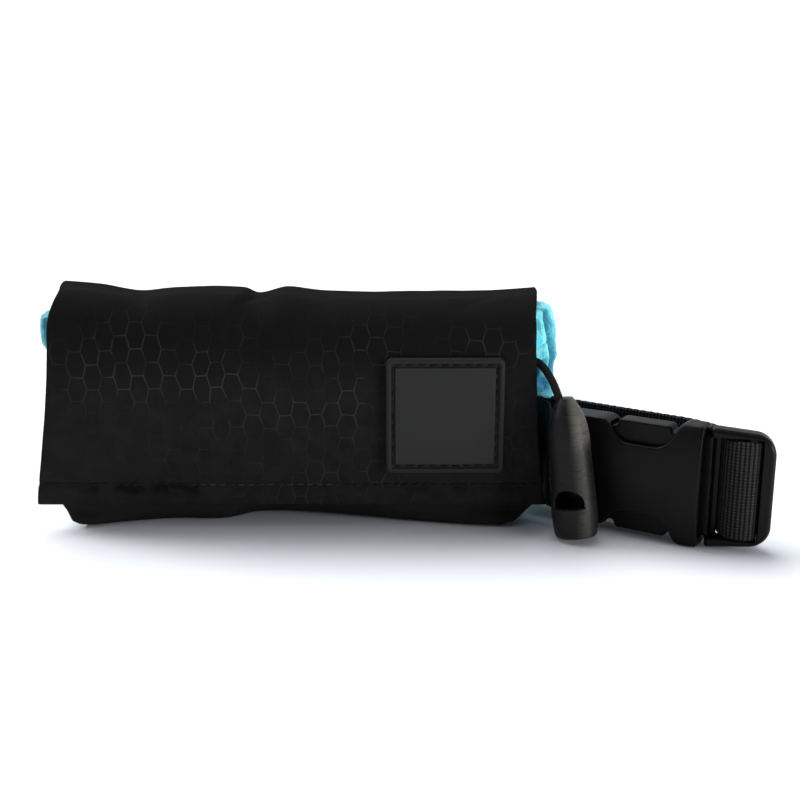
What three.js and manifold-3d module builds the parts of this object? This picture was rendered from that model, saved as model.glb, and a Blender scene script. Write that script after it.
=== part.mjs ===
// A belt pack for a folded inflatable float: a soft flap-over pouch with pleated side gussets, a rubber
// patch, a whistle on a trigger cord, and a webbing belt closed by a side-release buckle.
// Millimetres, +Z up. The front faces -Y and +X is on the right of a viewer in front. The origin is the
// middle of the pouch's base, on the surface that the pack rests on.

import * as THREE from "three";
import { mergeVertices } from "three/addons/utils/BufferGeometryUtils.js";
import Module from "manifold-3d";

const wasm = await Module();
wasm.setup();

const { lerp, clamp, smoothstep, degToRad } = THREE.MathUtils;

// Cloth walls, and the gap that neighbouring pieces keep.
const FLAP_THICK = 1.2;
const BODY_THICK = 1.4;
const GUSSET_THICK = 1.0;
const SLEEVE_THICK = 1.2;
const GAP = 0.35;
const FLAP_GAP = 0.6;

// The pouch across its depth. Half depths run from the middle to an outer face.
const FLAP_HALF_DEPTH = 21;
const BODY_HALF_DEPTH = FLAP_HALF_DEPTH - FLAP_THICK - FLAP_GAP;
const ROOM_HALF_DEPTH = BODY_HALF_DEPTH - BODY_THICK - GAP;
const FRONT_ROUNDING = { top: 15, endFoot: 5 };
const BACK_ROUNDING = { top: 12, foot: 6 };
const FLAP_HEM_Z = 7.6;
const FLAP_BACK_Z = 46;
const BODY_BACK_TOP_Z = 56;

// The front swells a little between the hem and the top, most of all in the middle.
const SWELL = { out: 1.5, halfWidth: 82, lowZ: 8, highZ: 62 };

// The flap's top line from left to right: the cloth peaks at its corners and sags between folds.
const RIDGE = [
  { x: -73, top: 73.2 },
  { x: -61, top: 72.1 },
  { x: -48.5, top: 70.2 },
  { x: -37, top: 71.3 },
  { x: -17, top: 71.2 },
  { x: -11.5, top: 69.4 },
  { x: -3, top: 71.2 },
  { x: 9.5, top: 69.8 },
  { x: 58, top: 70.0 },
  { x: 75, top: 71.1 },
];

// The flap's side edges from the hem up: it widens towards the hem.
const FLAP_EDGES = [
  { z: 8, left: -79.3, right: 77.9 },
  { z: 12, left: -78.8, right: 77.0 },
  { z: 26, left: -76.6, right: 75.5 },
  { z: 41, left: -73.8, right: 74.4 },
  { z: 57, left: -71.6, right: 73.9 },
  { z: 72, left: -72.3, right: 75.4 },
];

// The body's side edges from the base up: its lower corners are cut off at a slant.
const BODY_EDGES = [
  { z: 0, left: -63.5, right: 67.0 },
  { z: 4, left: -67.5, right: 71.0 },
  { z: 9, left: -70.8, right: 74.0 },
  { z: 20, left: -70.2, right: 72.6 },
  { z: 64, left: -69.5, right: 72.0 },
];

// The body's front foot from left to right: how round it is, and how far its ends bulge forward.
const FOOT = [
  { x: -63, radius: FRONT_ROUNDING.endFoot, forward: 3.8 },
  { x: -53, radius: 6, forward: 1.4 },
  { x: -38, radius: 8, forward: 0 },
  { x: -22, radius: 8, forward: 0 },
  { x: -12, radius: 15, forward: 0 },
  { x: 2, radius: 16, forward: 0 },
  { x: 26, radius: 10, forward: 0 },
  { x: 43, radius: 6, forward: 1.4 },
  { x: 55, radius: 5, forward: 3.4 },
  { x: 66, radius: FRONT_ROUNDING.endFoot, forward: 3.8 },
];
const FOOT_BULGE = { fullZ: 1, endZ: 5 };

// The front panel's top edge under the flap, lower at the right where the trigger cord comes out.
const FRONT_TOP = [
  { x: -70, z: 53 },
  { x: 50, z: 53 },
  { x: 62, z: 43 },
  { x: 73, z: 43 },
];

// Soft dents in the front: middle of each, depth, and reach sideways and upwards.
const DENTS = [
  { x: -47, z: 67, depth: 1.5, wide: 7, tall: 9 },
  { x: -11.5, z: 66, depth: 1.7, wide: 6, tall: 9 },
  { x: 9, z: 66, depth: 1.0, wide: 6, tall: 8 },
  { x: -42, z: 22, depth: 1.0, wide: 16, tall: 9 },
  { x: 4, z: 31, depth: 0.9, wide: 14, tall: 15 },
];

// Each gusset from the base up: how far out its fold stands, and how deep its crease is.
const GUSSET_EDGE_INSET = 1.6;
const GUSSET_FULLNESS = 0.75;
const GUSSET_CREASE = { at: 0.34, wide: 0.075 };
const GUSSET_RIGHT = [
  { z: 3.2, reach: 67.4, crease: 0 },
  { z: 9, reach: 73.0, crease: 0 },
  { z: 22, reach: 73.4, crease: 0.2 },
  { z: 34, reach: 73.6, crease: 0.4 },
  { z: 38, reach: 75.6, crease: 0.8 },
  { z: 42, reach: 79.8, crease: 1.2 },
  { z: 48, reach: 83.0, crease: 1.8 },
  { z: 55, reach: 83.2, crease: 1.8 },
  { z: 62, reach: 82.0, crease: 1.4 },
  { z: 67, reach: 79.2, crease: 0.6 },
];
const GUSSET_LEFT = [
  { z: 3.2, reach: 64.0, crease: 0 },
  { z: 9, reach: 70.4, crease: 0 },
  { z: 30, reach: 71.0, crease: 0.2 },
  { z: 46, reach: 73.0, crease: 0.5 },
  { z: 52, reach: 77.0, crease: 1.0 },
  { z: 56, reach: 79.7, crease: 1.4 },
  { z: 60, reach: 80.3, crease: 1.4 },
  { z: 64.5, reach: 80.2, crease: 1.0 },
  { z: 67, reach: 77.8, crease: 0.5 },
];
const GUSSET_TOP_Z = 69.4;
// The right gusset's front edge is pulled back where the trigger cord passes it.
const CORD_SETBACK = { z: 51, depth: 4.2, reach: 5 };

// The square patch on the flap: its groove lies between the rim and the inner field.
const PATCH = { x: 46.8, z: 36.4, side: 35.6, cornerRadius: 2.6, gap: 0.3 };
const PATCH_RIM = { width: 1.9, height: 1.9 };
const PATCH_GROOVE = { width: 1.2, height: 1.1, wall: 0.12 };
const PATCH_FIELD_HEIGHT = 1.6;

// The webbing belt and its sleeve on the pouch's back.
const BELT = { width: 30, thick: 1.6 };
const BELT_SLEEVE_Z = 22;
const SLEEVE = { halfWidth: 48, roomHalf: 15.7, edge: 3.2 };

// The belt's turns in plan away from the buckle, and the radius of each. The loop behind the pouch is
// as long as a small waist is round.
const SEWN_END = { x: 77.4, y: 3.4, radius: 0 };
const SEWN_LEAD = { x: 80.6, y: -1.9, radius: 5 };
const POUCH_SIDE = { x: 77.2, y: 7.5, radius: 12 };
const POUCH_CORNER = { x: 76.2, radius: 4.5 };
const LEFT_HIP = { x: -94, radius: 40 };
const LOOP_LEFT = { x: -112, y: 240, radius: 95 };
const LOOP_RIGHT = { x: 98, y: 240, radius: 95 };
const LOOP_RETURN = { x: 79.4, y: 10.2, radius: 9 };
// The belt at the buckle: the radii of its turns, the room it keeps behind the plug and behind its own
// tail, and how far past the seam the tail ends.
const BAR_TURN = { outer: 3, inner: 1.5 };
const LADDER_TURN = { entry: 2.2, over: 1.6, exit: 2 };
const BEHIND_PLUG = 6.5;
const TAIL = { end: -34, room: 4.4, returnAt: 4, returnRadius: 12 };

// The buckle: it lies on its lower edge with its right end turned towards the front. Its own axes
// are x along it from the seam between its halves, y through it to the back, and z across it. The
// plug's frame bends back from the seam, as the buckle is curved to lie round a waist.
const BUCKLE = { seamX: 122.6, seamY: -36, midZ: 18.7, yaw: degToRad(33), bend: degToRad(18) };
const SOCKET = { length: 47, mouthHalf: 18.7, shoulderHalf: 18.2, endHalf: 17.6 };
const SOCKET_THICK = { middleHalf: 6.2, edgeHalf: 3.7 };
const SOCKET_CORNER = { mouth: 1.6, shoulder: 3, end: 5 };
const SOCKET_BEVEL = { size: 0.9, depth: 0.9 };
const POCKET = { depth: 37.2, half: 16.7, thick: 7.0 };
const WINDOW = { x: -18, z: 21, radius: 10.4 };
const SOCKET_SLOT = { from: -44, to: -40.4, half: 15.4 };
const END_BAR_HALF_THICK = 2.0;
const PLUG = { from: 1.6, to: 19.3, startHalf: 17.8, endHalf: 16.6, thick: 6.0, corner: 4 };
const PLUG_BEVEL = { size: 0.9, depth: 1.0 };
const PLUG_WINDOW = { from: 4.2, to: 16.2, half: 15.4 };
const LADDER_BAR = { from: 8.4, to: 11.4, halfThick: 1.3 };
const PRONG_THICK = 6.2;
const PRONG_BEVEL = 0.5;
const TONGUE = { length: 28, half: 1.6, thick: 4.4 };
const SHOULDER = { from: -4, to: 3, half: 15.8, halfThick: 2.4 };
// A prong's outline in the buckle's x and z: its root, its arm, the thumb pad that stands out in the
// window, and its tip.
const PRONG_OUTLINE = [
  { x: -3, z: 9.6, radius: 0 },
  { x: -3, z: SHOULDER.half, radius: 0 },
  { x: WINDOW.x + 8.5, z: SHOULDER.half, radius: 2 },
  { x: WINDOW.x + 6.5, z: 17.4, radius: 2 },
  { x: WINDOW.x - 7, z: 17.4, radius: 2 },
  { x: WINDOW.x - 9.5, z: 15.4, radius: 2 },
  { x: -36, z: 12.2, radius: 1.5 },
  { x: -36, z: 9.2, radius: 1 },
  { x: -28, z: 9.6, radius: 4 },
];
// How far a cut or a joined bar runs past the face that it meets.
const PAST = 1;

// The whistle stands on the rim of its mouth and leans towards the pouch.
const WHISTLE_MOUTH = new THREE.Vector3(87.4, -30.6, 1.4);
const WHISTLE_TIP = new THREE.Vector3(82.9, -26.8, 42.4);
const WHISTLE_PROFILE = [
  { along: 0.0, radius: 6.3 },
  { along: 1.6, radius: 6.6 },
  { along: 7.0, radius: 6.95 },
  { along: 13.0, radius: 6.75 },
  { along: 25.0, radius: 6.35 },
  { along: 32.0, radius: 6.2 },
  { along: 36.5, radius: 5.5 },
  { along: 39.5, radius: 4.0 },
  { along: 41.5, radius: 2.6 },
  { along: 42.1, radius: 2.1 },
];
const WINDWAY = { radius: 4.4, depth: 15 };
const LABIUM = { from: 7.4, to: 14.0, depth: 1.9 };
const AIR_SLOT = { from: 7.4, to: 10.0, width: 6.6 };

// The trigger cord from the inside of the front panel to its bore in the whistle's tip.
const CORD_RADIUS = 1.2;
const CORD_ROUTE = [
  { x: 57.0, y: -16.4, z: 46.0 },
  { x: 64.0, y: -16.5, z: 48.8 },
  { x: 70.0, y: -17.0, z: 51.0 },
  { x: 73.6, y: -17.9, z: 51.7 },
  { x: 75.8, y: -19.2, z: 51.2 },
  { x: 77.6, y: -22.0, z: 49.4 },
  { x: 79.4, y: -24.6, z: 46.6 },
  { x: 81.2, y: -26.2, z: 43.2 },
  { x: 82.8, y: -27.0, z: 39.8 },
];
const CORD_STEPS = 16;

// Grid and ring counts, and the distance within which points are welded and the turn that counts as none.
const FLAP_COLUMNS = 26;
const BODY_COLUMNS = 24;
const GUSSET_ROWS = 17;
const GUSSET_COLUMNS = 12;
const RING_SIDES = 22;
const CORD_SIDES = 8;
const PILLOW_STEPS = 8;
const ARC_STEPS = 3;
const WELD = 1e-4;
const NO_TURN = 1e-6;

const CLOTH_BLACK = new THREE.MeshStandardMaterial({ color: 0x1b1b1d, roughness: 0.85, metalness: 0 });
const CLOTH_BLUE = new THREE.MeshStandardMaterial({ color: 0x2fb4d8, roughness: 0.6, metalness: 0 });
const WEBBING = new THREE.MeshStandardMaterial({ color: 0x17181a, roughness: 0.9, metalness: 0 });
const RUBBER = new THREE.MeshStandardMaterial({ color: 0x2a2a2a, roughness: 0.7, metalness: 0 });
const PLASTIC = new THREE.MeshStandardMaterial({ color: 0x141416, roughness: 0.45, metalness: 0 });
const BRAID = new THREE.MeshStandardMaterial({ color: 0x1a1a1c, roughness: 0.9, metalness: 0 });

const pack = new THREE.Group();
const buckle = new THREE.Group();
buckle.position.set(BUCKLE.seamX, BUCKLE.seamY, BUCKLE.midZ);
buckle.rotation.z = -BUCKLE.yaw;
pack.add(buckle);

function addPiece(group, name, geometry, material) {
  const mesh = new THREE.Mesh(geometry, material);
  mesh.name = name;
  group.add(mesh);
}

// The value of one column of a table at a place along another column, by a cubic through its rows.
function columnAt(table, along, place, column) {
  const last = table.length - 1;
  if (place <= table[0][along]) return table[0][column];
  if (place >= table[last][along]) return table[last][column];
  const k = table.findIndex((row) => row[along] > place) - 1;
  const [before, from, to, after] = [k - 1, k, k + 1, k + 2].map((i) => table[clamp(i, 0, last)]);
  const span = to[along] - from[along];
  const slope = (a, b) => ((b[column] - a[column]) / (b[along] - a[along])) * span;
  const t = (place - from[along]) / span;
  const startSlope = slope(before, to);
  const endSlope = slope(from, after);
  const rise = to[column] - from[column];
  const bend = 3 * rise - 2 * startSlope - endSlope;
  const twist = startSlope + endSlope - 2 * rise;
  return from[column] + t * (startSlope + t * (bend + t * twist));
}

// The arc that rounds a corner between two neighbours, as points from its start to its end.
function cornerArc(before, corner, after) {
  const inward = corner.at.clone().sub(before.at).normalize();
  const outward = after.at.clone().sub(corner.at).normalize();
  const turn = Math.atan2(inward.cross(outward), inward.dot(outward));
  if (!corner.radius || Math.abs(turn) < NO_TURN) return [corner.at.clone()];
  const reach = corner.radius * Math.tan(Math.abs(turn) / 2);
  const start = corner.at.clone().addScaledVector(inward, -reach);
  const side = new THREE.Vector2(-inward.y, inward.x).multiplyScalar(Math.sign(turn));
  const centre = start.clone().addScaledVector(side, corner.radius);
  const steps = corner.steps ?? ARC_STEPS;
  return Array.from({ length: steps + 1 }, (_, i) => start.clone().rotateAround(centre, (turn * i) / steps));
}

// An open path with rounded corners. Each point keeps its place: the corner's index on an arc, and a
// fraction more on the straight run after it, which is cut into the next corner's runs.
function roundedPath(corners) {
  const path = [{ at: corners[0].at.clone(), place: 0 }];
  for (let k = 1; k < corners.length; k++) {
    const isEnd = k === corners.length - 1;
    const arc = isEnd ? [corners[k].at] : cornerArc(corners[k - 1], corners[k], corners[k + 1]);
    const start = path.at(-1).at;
    const runs = corners[k].runs ?? 1;
    for (let i = 1; i < runs; i++) {
      path.push({ at: start.clone().lerp(arc[0], i / runs), place: k - 1 + i / runs });
    }
    arc.forEach((at) => path.push({ at, place: k }));
  }
  return path;
}

// A closed outline with rounded corners, as a shape to extrude.
function roundedShape(corners) {
  const neighbour = (k) => corners.at(k % corners.length);
  const arcs = corners.map((corner, k) => cornerArc(neighbour(k - 1), corner, neighbour(k + 1)));
  return new THREE.Shape(arcs.flat());
}

const corner = (x, y, radius = 0, more = {}) => ({ at: new THREE.Vector2(x, y), radius, ...more });

// A closed wall between two grids of points that match, with rims round its four edges. The outer
// grid faces the way that (next in a row) x (next row) points.
function wallBetween(outer, inner) {
  const rows = outer.length;
  const columns = outer[0].length;
  const points = [...outer.flat(), ...inner.flat()];
  const out = (i, j) => i * columns + j;
  const into = (i, j) => rows * columns + out(i, j);
  const triangles = [];
  const quad = (a, b, c, d) => triangles.push(a, b, c, a, c, d);
  for (let i = 0; i < rows - 1; i++) {
    for (let j = 0; j < columns - 1; j++) {
      quad(out(i, j), out(i, j + 1), out(i + 1, j + 1), out(i + 1, j));
      quad(into(i, j), into(i + 1, j), into(i + 1, j + 1), into(i, j + 1));
    }
    const end = columns - 1;
    quad(out(i, 0), out(i + 1, 0), into(i + 1, 0), into(i, 0));
    quad(out(i + 1, end), out(i, end), into(i, end), into(i + 1, end));
  }
  for (let j = 0; j < columns - 1; j++) {
    const end = rows - 1;
    quad(out(0, j + 1), out(0, j), into(0, j), into(0, j + 1));
    quad(out(end, j), out(end, j + 1), into(end, j + 1), into(end, j));
  }
  const geometry = new THREE.BufferGeometry().setFromPoints(points);
  geometry.setIndex(triangles);
  return geometry;
}

// A wall whose outer face is a grid of points, thickened behind that face along the grid's normals.
function wallBehind(outer, thick) {
  const rowEnd = outer.length - 1;
  const columnEnd = outer[0].length - 1;
  const inner = outer.map((row, i) =>
    row.map((point, j) => {
      const along = outer[Math.min(i + 1, rowEnd)][j].clone().sub(outer[Math.max(i - 1, 0)][j]);
      const across = row[Math.min(j + 1, columnEnd)].clone().sub(row[Math.max(j - 1, 0)]);
      return point.clone().addScaledVector(across.cross(along).normalize(), -thick);
    }),
  );
  return wallBetween(outer, inner);
}

function solidFrom(geometry) {
  const bare = geometry.index ? geometry.toNonIndexed() : geometry.clone();
  bare.deleteAttribute("normal");
  bare.deleteAttribute("uv");
  const merged = mergeVertices(bare, WELD);
  return new wasm.Manifold(
    new wasm.Mesh({
      numProp: 3,
      vertProperties: new Float32Array(merged.attributes.position.array),
      triVerts: new Uint32Array(merged.index.array),
    }),
  );
}

function geometryFrom(solid) {
  const mesh = solid.getMesh();
  const geometry = new THREE.BufferGeometry();
  geometry.setAttribute("position", new THREE.BufferAttribute(mesh.vertProperties, 3));
  geometry.setIndex(new THREE.BufferAttribute(mesh.triVerts, 1));
  return geometry;
}

function boxSolid(x, y, z) {
  const geometry = new THREE.BoxGeometry(x[1] - x[0], y[1] - y[0], z[1] - z[0]);
  geometry.translate((x[0] + x[1]) / 2, (y[0] + y[1]) / 2, (z[0] + z[1]) / 2);
  return solidFrom(geometry);
}

const symmetric = (half) => [-half, half];

// A shape drawn in the buckle's x and z, given a thickness through y about the middle, with its
// front and back edges bevelled.
function plateSolid(shape, thick, bevelSize, bevelDepth) {
  const geometry = new THREE.ExtrudeGeometry(shape, {
    depth: thick - 2 * bevelDepth,
    bevelSize,
    bevelOffset: -bevelSize,
    bevelThickness: bevelDepth,
    bevelSegments: 2,
    curveSegments: 1,
  });
  geometry.translate(0, 0, bevelDepth - thick / 2);
  geometry.rotateX(Math.PI / 2);
  return solidFrom(geometry);
}

// How far the front of the pouch stands out from its flat depth at a place.
function frontSwell(x, z) {
  const height = clamp((z - SWELL.lowZ) / (SWELL.highZ - SWELL.lowZ), 0, 1);
  const swell = SWELL.out * (1 - (x / SWELL.halfWidth) ** 2) * Math.sin(Math.PI * height);
  const dent = (row) => {
    const sideways = (x - row.x) / row.wide;
    const upwards = (z - row.z) / row.tall;
    return row.depth * Math.exp(-(sideways ** 2) - upwards ** 2);
  };
  return DENTS.reduce((out, row) => out - dent(row), swell);
}

function edgeX(edges, z, share) {
  return lerp(columnAt(edges, "z", z, "left"), columnAt(edges, "z", z, "right"), share);
}

// A panel that runs round the pouch's depth: columns from left to right, each a section path in y and
// z that is stretched sideways to the panel's own edges and swelled at the front.
function wrappedGrid(columns, edges, sectionAt, forwardAt) {
  return Array.from({ length: columns + 1 }, (_, i) => {
    const share = i / columns;
    const sectionX = edgeX(edges, edges.at(-1).z, share);
    return roundedPath(sectionAt(sectionX)).map(({ at }) => {
      const [y, z] = at.toArray();
      const x = edgeX(edges, z, share);
      const out = y < 0 ? frontSwell(x, z) + forwardAt(x, z) : 0;
      return new THREE.Vector3(x, y - out * smoothstep(-y, 0, FLAP_HALF_DEPTH / 2), z);
    });
  });
}

function makeFlap() {
  const sectionAt = (x) => {
    const top = columnAt(RIDGE, "x", x, "top");
    return [
      corner(FLAP_HALF_DEPTH, FLAP_BACK_Z),
      corner(FLAP_HALF_DEPTH, top, BACK_ROUNDING.top, { steps: 4, runs: 2 }),
      corner(-FLAP_HALF_DEPTH, top, FRONT_ROUNDING.top, { steps: 5, runs: 3 }),
      corner(-FLAP_HALF_DEPTH, FLAP_HEM_Z, 0, { runs: 7 }),
    ];
  };
  const grid = wrappedGrid(FLAP_COLUMNS, FLAP_EDGES, sectionAt, () => 0);
  addPiece(pack, "flap", wallBehind(grid, FLAP_THICK), CLOTH_BLACK);
}

function makePouchBody() {
  const sectionAt = (x) => [
    corner(-BODY_HALF_DEPTH, columnAt(FRONT_TOP, "x", x, "z")),
    corner(-BODY_HALF_DEPTH, 0, columnAt(FOOT, "x", x, "radius"), { steps: 5, runs: 6 }),
    corner(BODY_HALF_DEPTH, 0, BACK_ROUNDING.foot, { steps: 3, runs: 2 }),
    corner(BODY_HALF_DEPTH, BODY_BACK_TOP_Z, 0, { runs: 4 }),
  ];
  const forwardAt = (x, z) =>
    columnAt(FOOT, "x", x, "forward") * (1 - smoothstep(z, FOOT_BULGE.fullZ, FOOT_BULGE.endZ));
  const grid = wrappedGrid(BODY_COLUMNS, BODY_EDGES, sectionAt, forwardAt);
  addPiece(pack, "pouch_body", wallBehind(grid, BODY_THICK), CLOTH_BLACK);
}

// Half the clear depth inside the pouch at a height, past the round foot and the round top.
function roomAt(z, outerFoot, outerTop) {
  const low = BODY_THICK + GAP;
  const footRadius = outerFoot - low;
  const crownRadius = outerTop - FLAP_THICK - GAP;
  const sag = (radius, past) => radius - Math.sqrt(Math.max(radius ** 2 - Math.max(past, 0) ** 2, 0));
  const foot = sag(footRadius, low + footRadius - z);
  const crown = sag(crownRadius, z - (GUSSET_TOP_Z - crownRadius));
  return ROOM_HALF_DEPTH - foot - crown;
}

// A side wall between the front and back panels: one soft fold standing out of the pouch's end.
function makeGusset(name, rows, side, setbackAt) {
  const edgeColumn = side > 0 ? "right" : "left";
  const grid = Array.from({ length: GUSSET_ROWS + 1 }, (_, i) => {
    const z = lerp(rows[0].z, rows.at(-1).z, i / GUSSET_ROWS);
    const start = Math.abs(columnAt(BODY_EDGES, "z", z, edgeColumn)) - GUSSET_EDGE_INSET;
    const reach = columnAt(rows, "z", z, "reach") - start;
    const crease = columnAt(rows, "z", z, "crease");
    const front = roomAt(z, FRONT_ROUNDING.endFoot, FRONT_ROUNDING.top) - setbackAt(z);
    const back = roomAt(z, BACK_ROUNDING.foot, BACK_ROUNDING.top);
    const row = Array.from({ length: GUSSET_COLUMNS + 1 }, (_, j) => {
      const round = j / GUSSET_COLUMNS;
      const fold = Math.sin(Math.PI * round) ** GUSSET_FULLNESS;
      const dip = crease * Math.exp(-(((round - GUSSET_CREASE.at) / GUSSET_CREASE.wide) ** 2));
      const share = (1 - Math.cos(Math.PI * round)) / 2;
      return new THREE.Vector3(side * (start + reach * fold - dip), lerp(-front, back, share), z);
    });
    return side > 0 ? row : row.reverse();
  });
  addPiece(pack, name, wallBehind(grid, GUSSET_THICK), CLOTH_BLUE);
}

// The patch: a plate that follows the flap's front, with a groove between its rim and its field.
function makePatch() {
  const half = PATCH.side / 2;
  const grooveFrom = PATCH_RIM.width;
  const grooveTo = PATCH_RIM.width + PATCH_GROOVE.width;
  const heightIn = (depth) => {
    if (depth <= grooveFrom) return PATCH_RIM.height;
    if (depth < grooveTo) return PATCH_GROOVE.height;
    return PATCH_FIELD_HEIGHT;
  };
  const wall = PATCH_GROOVE.wall;
  const grooveSteps = [grooveFrom, grooveFrom + wall, grooveTo - wall, grooveTo];
  const steps = [0, PATCH.cornerRadius / 3, ...grooveSteps, half / 2];
  const lines = [...steps.map((s) => s - half), 0, ...steps.map((s) => half - s).reverse()];
  const rounded = (a, b) => {
    const edge = half - PATCH.cornerRadius;
    const offset = new THREE.Vector2(Math.max(Math.abs(a) - edge, 0), Math.max(Math.abs(b) - edge, 0));
    if (!offset.x || !offset.y) return [a, b];
    offset.setLength(Math.max(offset.x, offset.y));
    return [Math.sign(a) * (edge + offset.x), Math.sign(b) * (edge + offset.y)];
  };
  const layer = (heightAt) =>
    lines.map((a) =>
      lines.map((b) => {
        const [u, v] = rounded(a, b);
        const x = PATCH.x + u;
        const z = PATCH.z - v;
        const face = FLAP_HALF_DEPTH + frontSwell(x, z) + PATCH.gap;
        const depth = half - Math.max(Math.abs(a), Math.abs(b));
        return new THREE.Vector3(x, -face - heightAt(depth), z);
      }),
    );
  addPiece(pack, "patch", wallBetween(layer(heightIn), layer(() => 0)), RUBBER);
}

// The sleeve: a strip sewn above and below the belt, standing off the back by the belt's thickness.
function makeSleeve() {
  const seat = BODY_HALF_DEPTH + GAP + SLEEVE_THICK;
  const stand = seat + BELT.thick + GAP;
  const section = roundedPath([
    corner(seat, BELT_SLEEVE_Z - SLEEVE.roomHalf - SLEEVE.edge),
    corner(stand, BELT_SLEEVE_Z - SLEEVE.roomHalf),
    corner(stand, BELT_SLEEVE_Z + SLEEVE.roomHalf, 0, { runs: 2 }),
    corner(seat, BELT_SLEEVE_Z + SLEEVE.roomHalf + SLEEVE.edge),
  ]);
  const columns = [-SLEEVE.halfWidth, 0, SLEEVE.halfWidth];
  const grid = columns.map((x) => section.map(({ at }) => new THREE.Vector3(x, at.x, at.y)));
  addPiece(pack, "belt_sleeve", wallBehind(grid, SLEEVE_THICK), CLOTH_BLACK);
}

// A place beside the buckle in plan: how far along it from the seam, and how far behind its middle.
function besideBuckle(along, behind) {
  const place = new THREE.Vector2(along, behind).rotateAround(new THREE.Vector2(), -BUCKLE.yaw);
  return place.add(new THREE.Vector2(BUCKLE.seamX, BUCKLE.seamY));
}

// The same on the plug's frame, which bends back from the seam.
function besidePlug(along, behind) {
  const place = new THREE.Vector2(along, behind).rotateAround(new THREE.Vector2(), BUCKLE.bend);
  return besideBuckle(place.x, place.y);
}

// The belt's middle line in plan, from its sewn end in the socket round to its tail behind the plug.
function beltRoute() {
  const clear = GAP + BELT.thick / 2;
  const backY = BODY_HALF_DEPTH + clear;
  const slotX = (SOCKET_SLOT.from + SOCKET_SLOT.to) / 2;
  const endBar = END_BAR_HALF_THICK + clear;
  const pastBar = -SOCKET.length - BELT.thick;
  const ladder = LADDER_BAR.halfThick + clear;
  const innerSlot = PLUG_WINDOW.from + clear + GAP;
  const outerSlot = PLUG_WINDOW.to - clear - GAP;
  const tailBehind = SOCKET_THICK.middleHalf + GAP + clear;
  const returnBehind = tailBehind + TAIL.room;
  const atBuckle = BUCKLE.midZ;
  const onFloor = BELT.width / 2 + GAP;
  const row = (at, radius, more = {}) => ({ at, z: atBuckle, radius, ...more });
  const turn = ({ x, y = backY, radius }, more) => row(new THREE.Vector2(x, y), radius, more);
  return [
    turn(SEWN_END),
    turn(SEWN_LEAD),
    row(besideBuckle(pastBar, -endBar), BAR_TURN.outer),
    row(besideBuckle(slotX, -endBar), BAR_TURN.inner),
    row(besideBuckle(slotX, endBar), BAR_TURN.inner),
    row(besideBuckle(pastBar, endBar), BAR_TURN.outer),
    turn(POUCH_SIDE),
    turn(POUCH_CORNER, { z: BELT_SLEEVE_Z, runs: 3, steps: 4 }),
    turn(LEFT_HIP, { z: BELT_SLEEVE_Z, runs: 4, steps: 7 }),
    turn(LOOP_LEFT, { z: onFloor, runs: 3, steps: 10 }),
    turn(LOOP_RIGHT, { z: onFloor, steps: 10 }),
    turn(LOOP_RETURN, { runs: 4, steps: 4 }),
    row(besideBuckle(TAIL.returnAt, returnBehind), TAIL.returnRadius, { runs: 3 }),
    row(besidePlug(outerSlot, BEHIND_PLUG), LADDER_TURN.entry),
    row(besidePlug(outerSlot, -ladder), LADDER_TURN.over),
    row(besidePlug(innerSlot, -ladder), LADDER_TURN.over),
    row(besidePlug(innerSlot, BEHIND_PLUG), LADDER_TURN.exit),
    row(besideBuckle(TAIL.end, tailBehind), 0),
  ];
}

function makeBelt() {
  const rows = beltRoute();
  const path = roundedPath(rows);
  const grid = path.map(({ at, place }, i) => {
    const from = rows[Math.floor(place)];
    const to = rows[Math.min(Math.floor(place) + 1, rows.length - 1)];
    const z = lerp(from.z, to.z, smoothstep(place % 1, 0, 1));
    const ahead = path[Math.min(i + 1, path.length - 1)].at;
    const behind = path[Math.max(i - 1, 0)].at;
    const way = ahead.clone().sub(behind).normalize();
    const face = new THREE.Vector2(way.y, -way.x).multiplyScalar(BELT.thick / 2).add(at);
    return [1, -1].map((end) => new THREE.Vector3(face.x, face.y, z + (end * BELT.width) / 2));
  });
  addPiece(pack, "belt", wallBehind(grid, BELT.thick), WEBBING);
}

// A block along the buckle that is thickest across its middle and thinner at its two edges.
function pillowSolid(length, half, { middleHalf, edgeHalf }) {
  const side = Array.from({ length: PILLOW_STEPS + 1 }, (_, i) => {
    const angle = Math.PI * (i / PILLOW_STEPS - 0.5);
    return new THREE.Vector2(lerp(edgeHalf, middleHalf, Math.cos(angle)), half * Math.sin(angle));
  });
  const other = side.map((point) => new THREE.Vector2(-point.x, point.y)).reverse();
  const geometry = new THREE.ExtrudeGeometry(new THREE.Shape([...side, ...other]), {
    depth: length,
    bevelEnabled: false,
  });
  const [x, y, z] = [0, 1, 2].map((axis) => new THREE.Vector3().setComponent(axis, 1));
  geometry.applyMatrix4(new THREE.Matrix4().makeBasis(y, z, x));
  geometry.translate(-length, 0, 0);
  return solidFrom(geometry);
}

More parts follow.
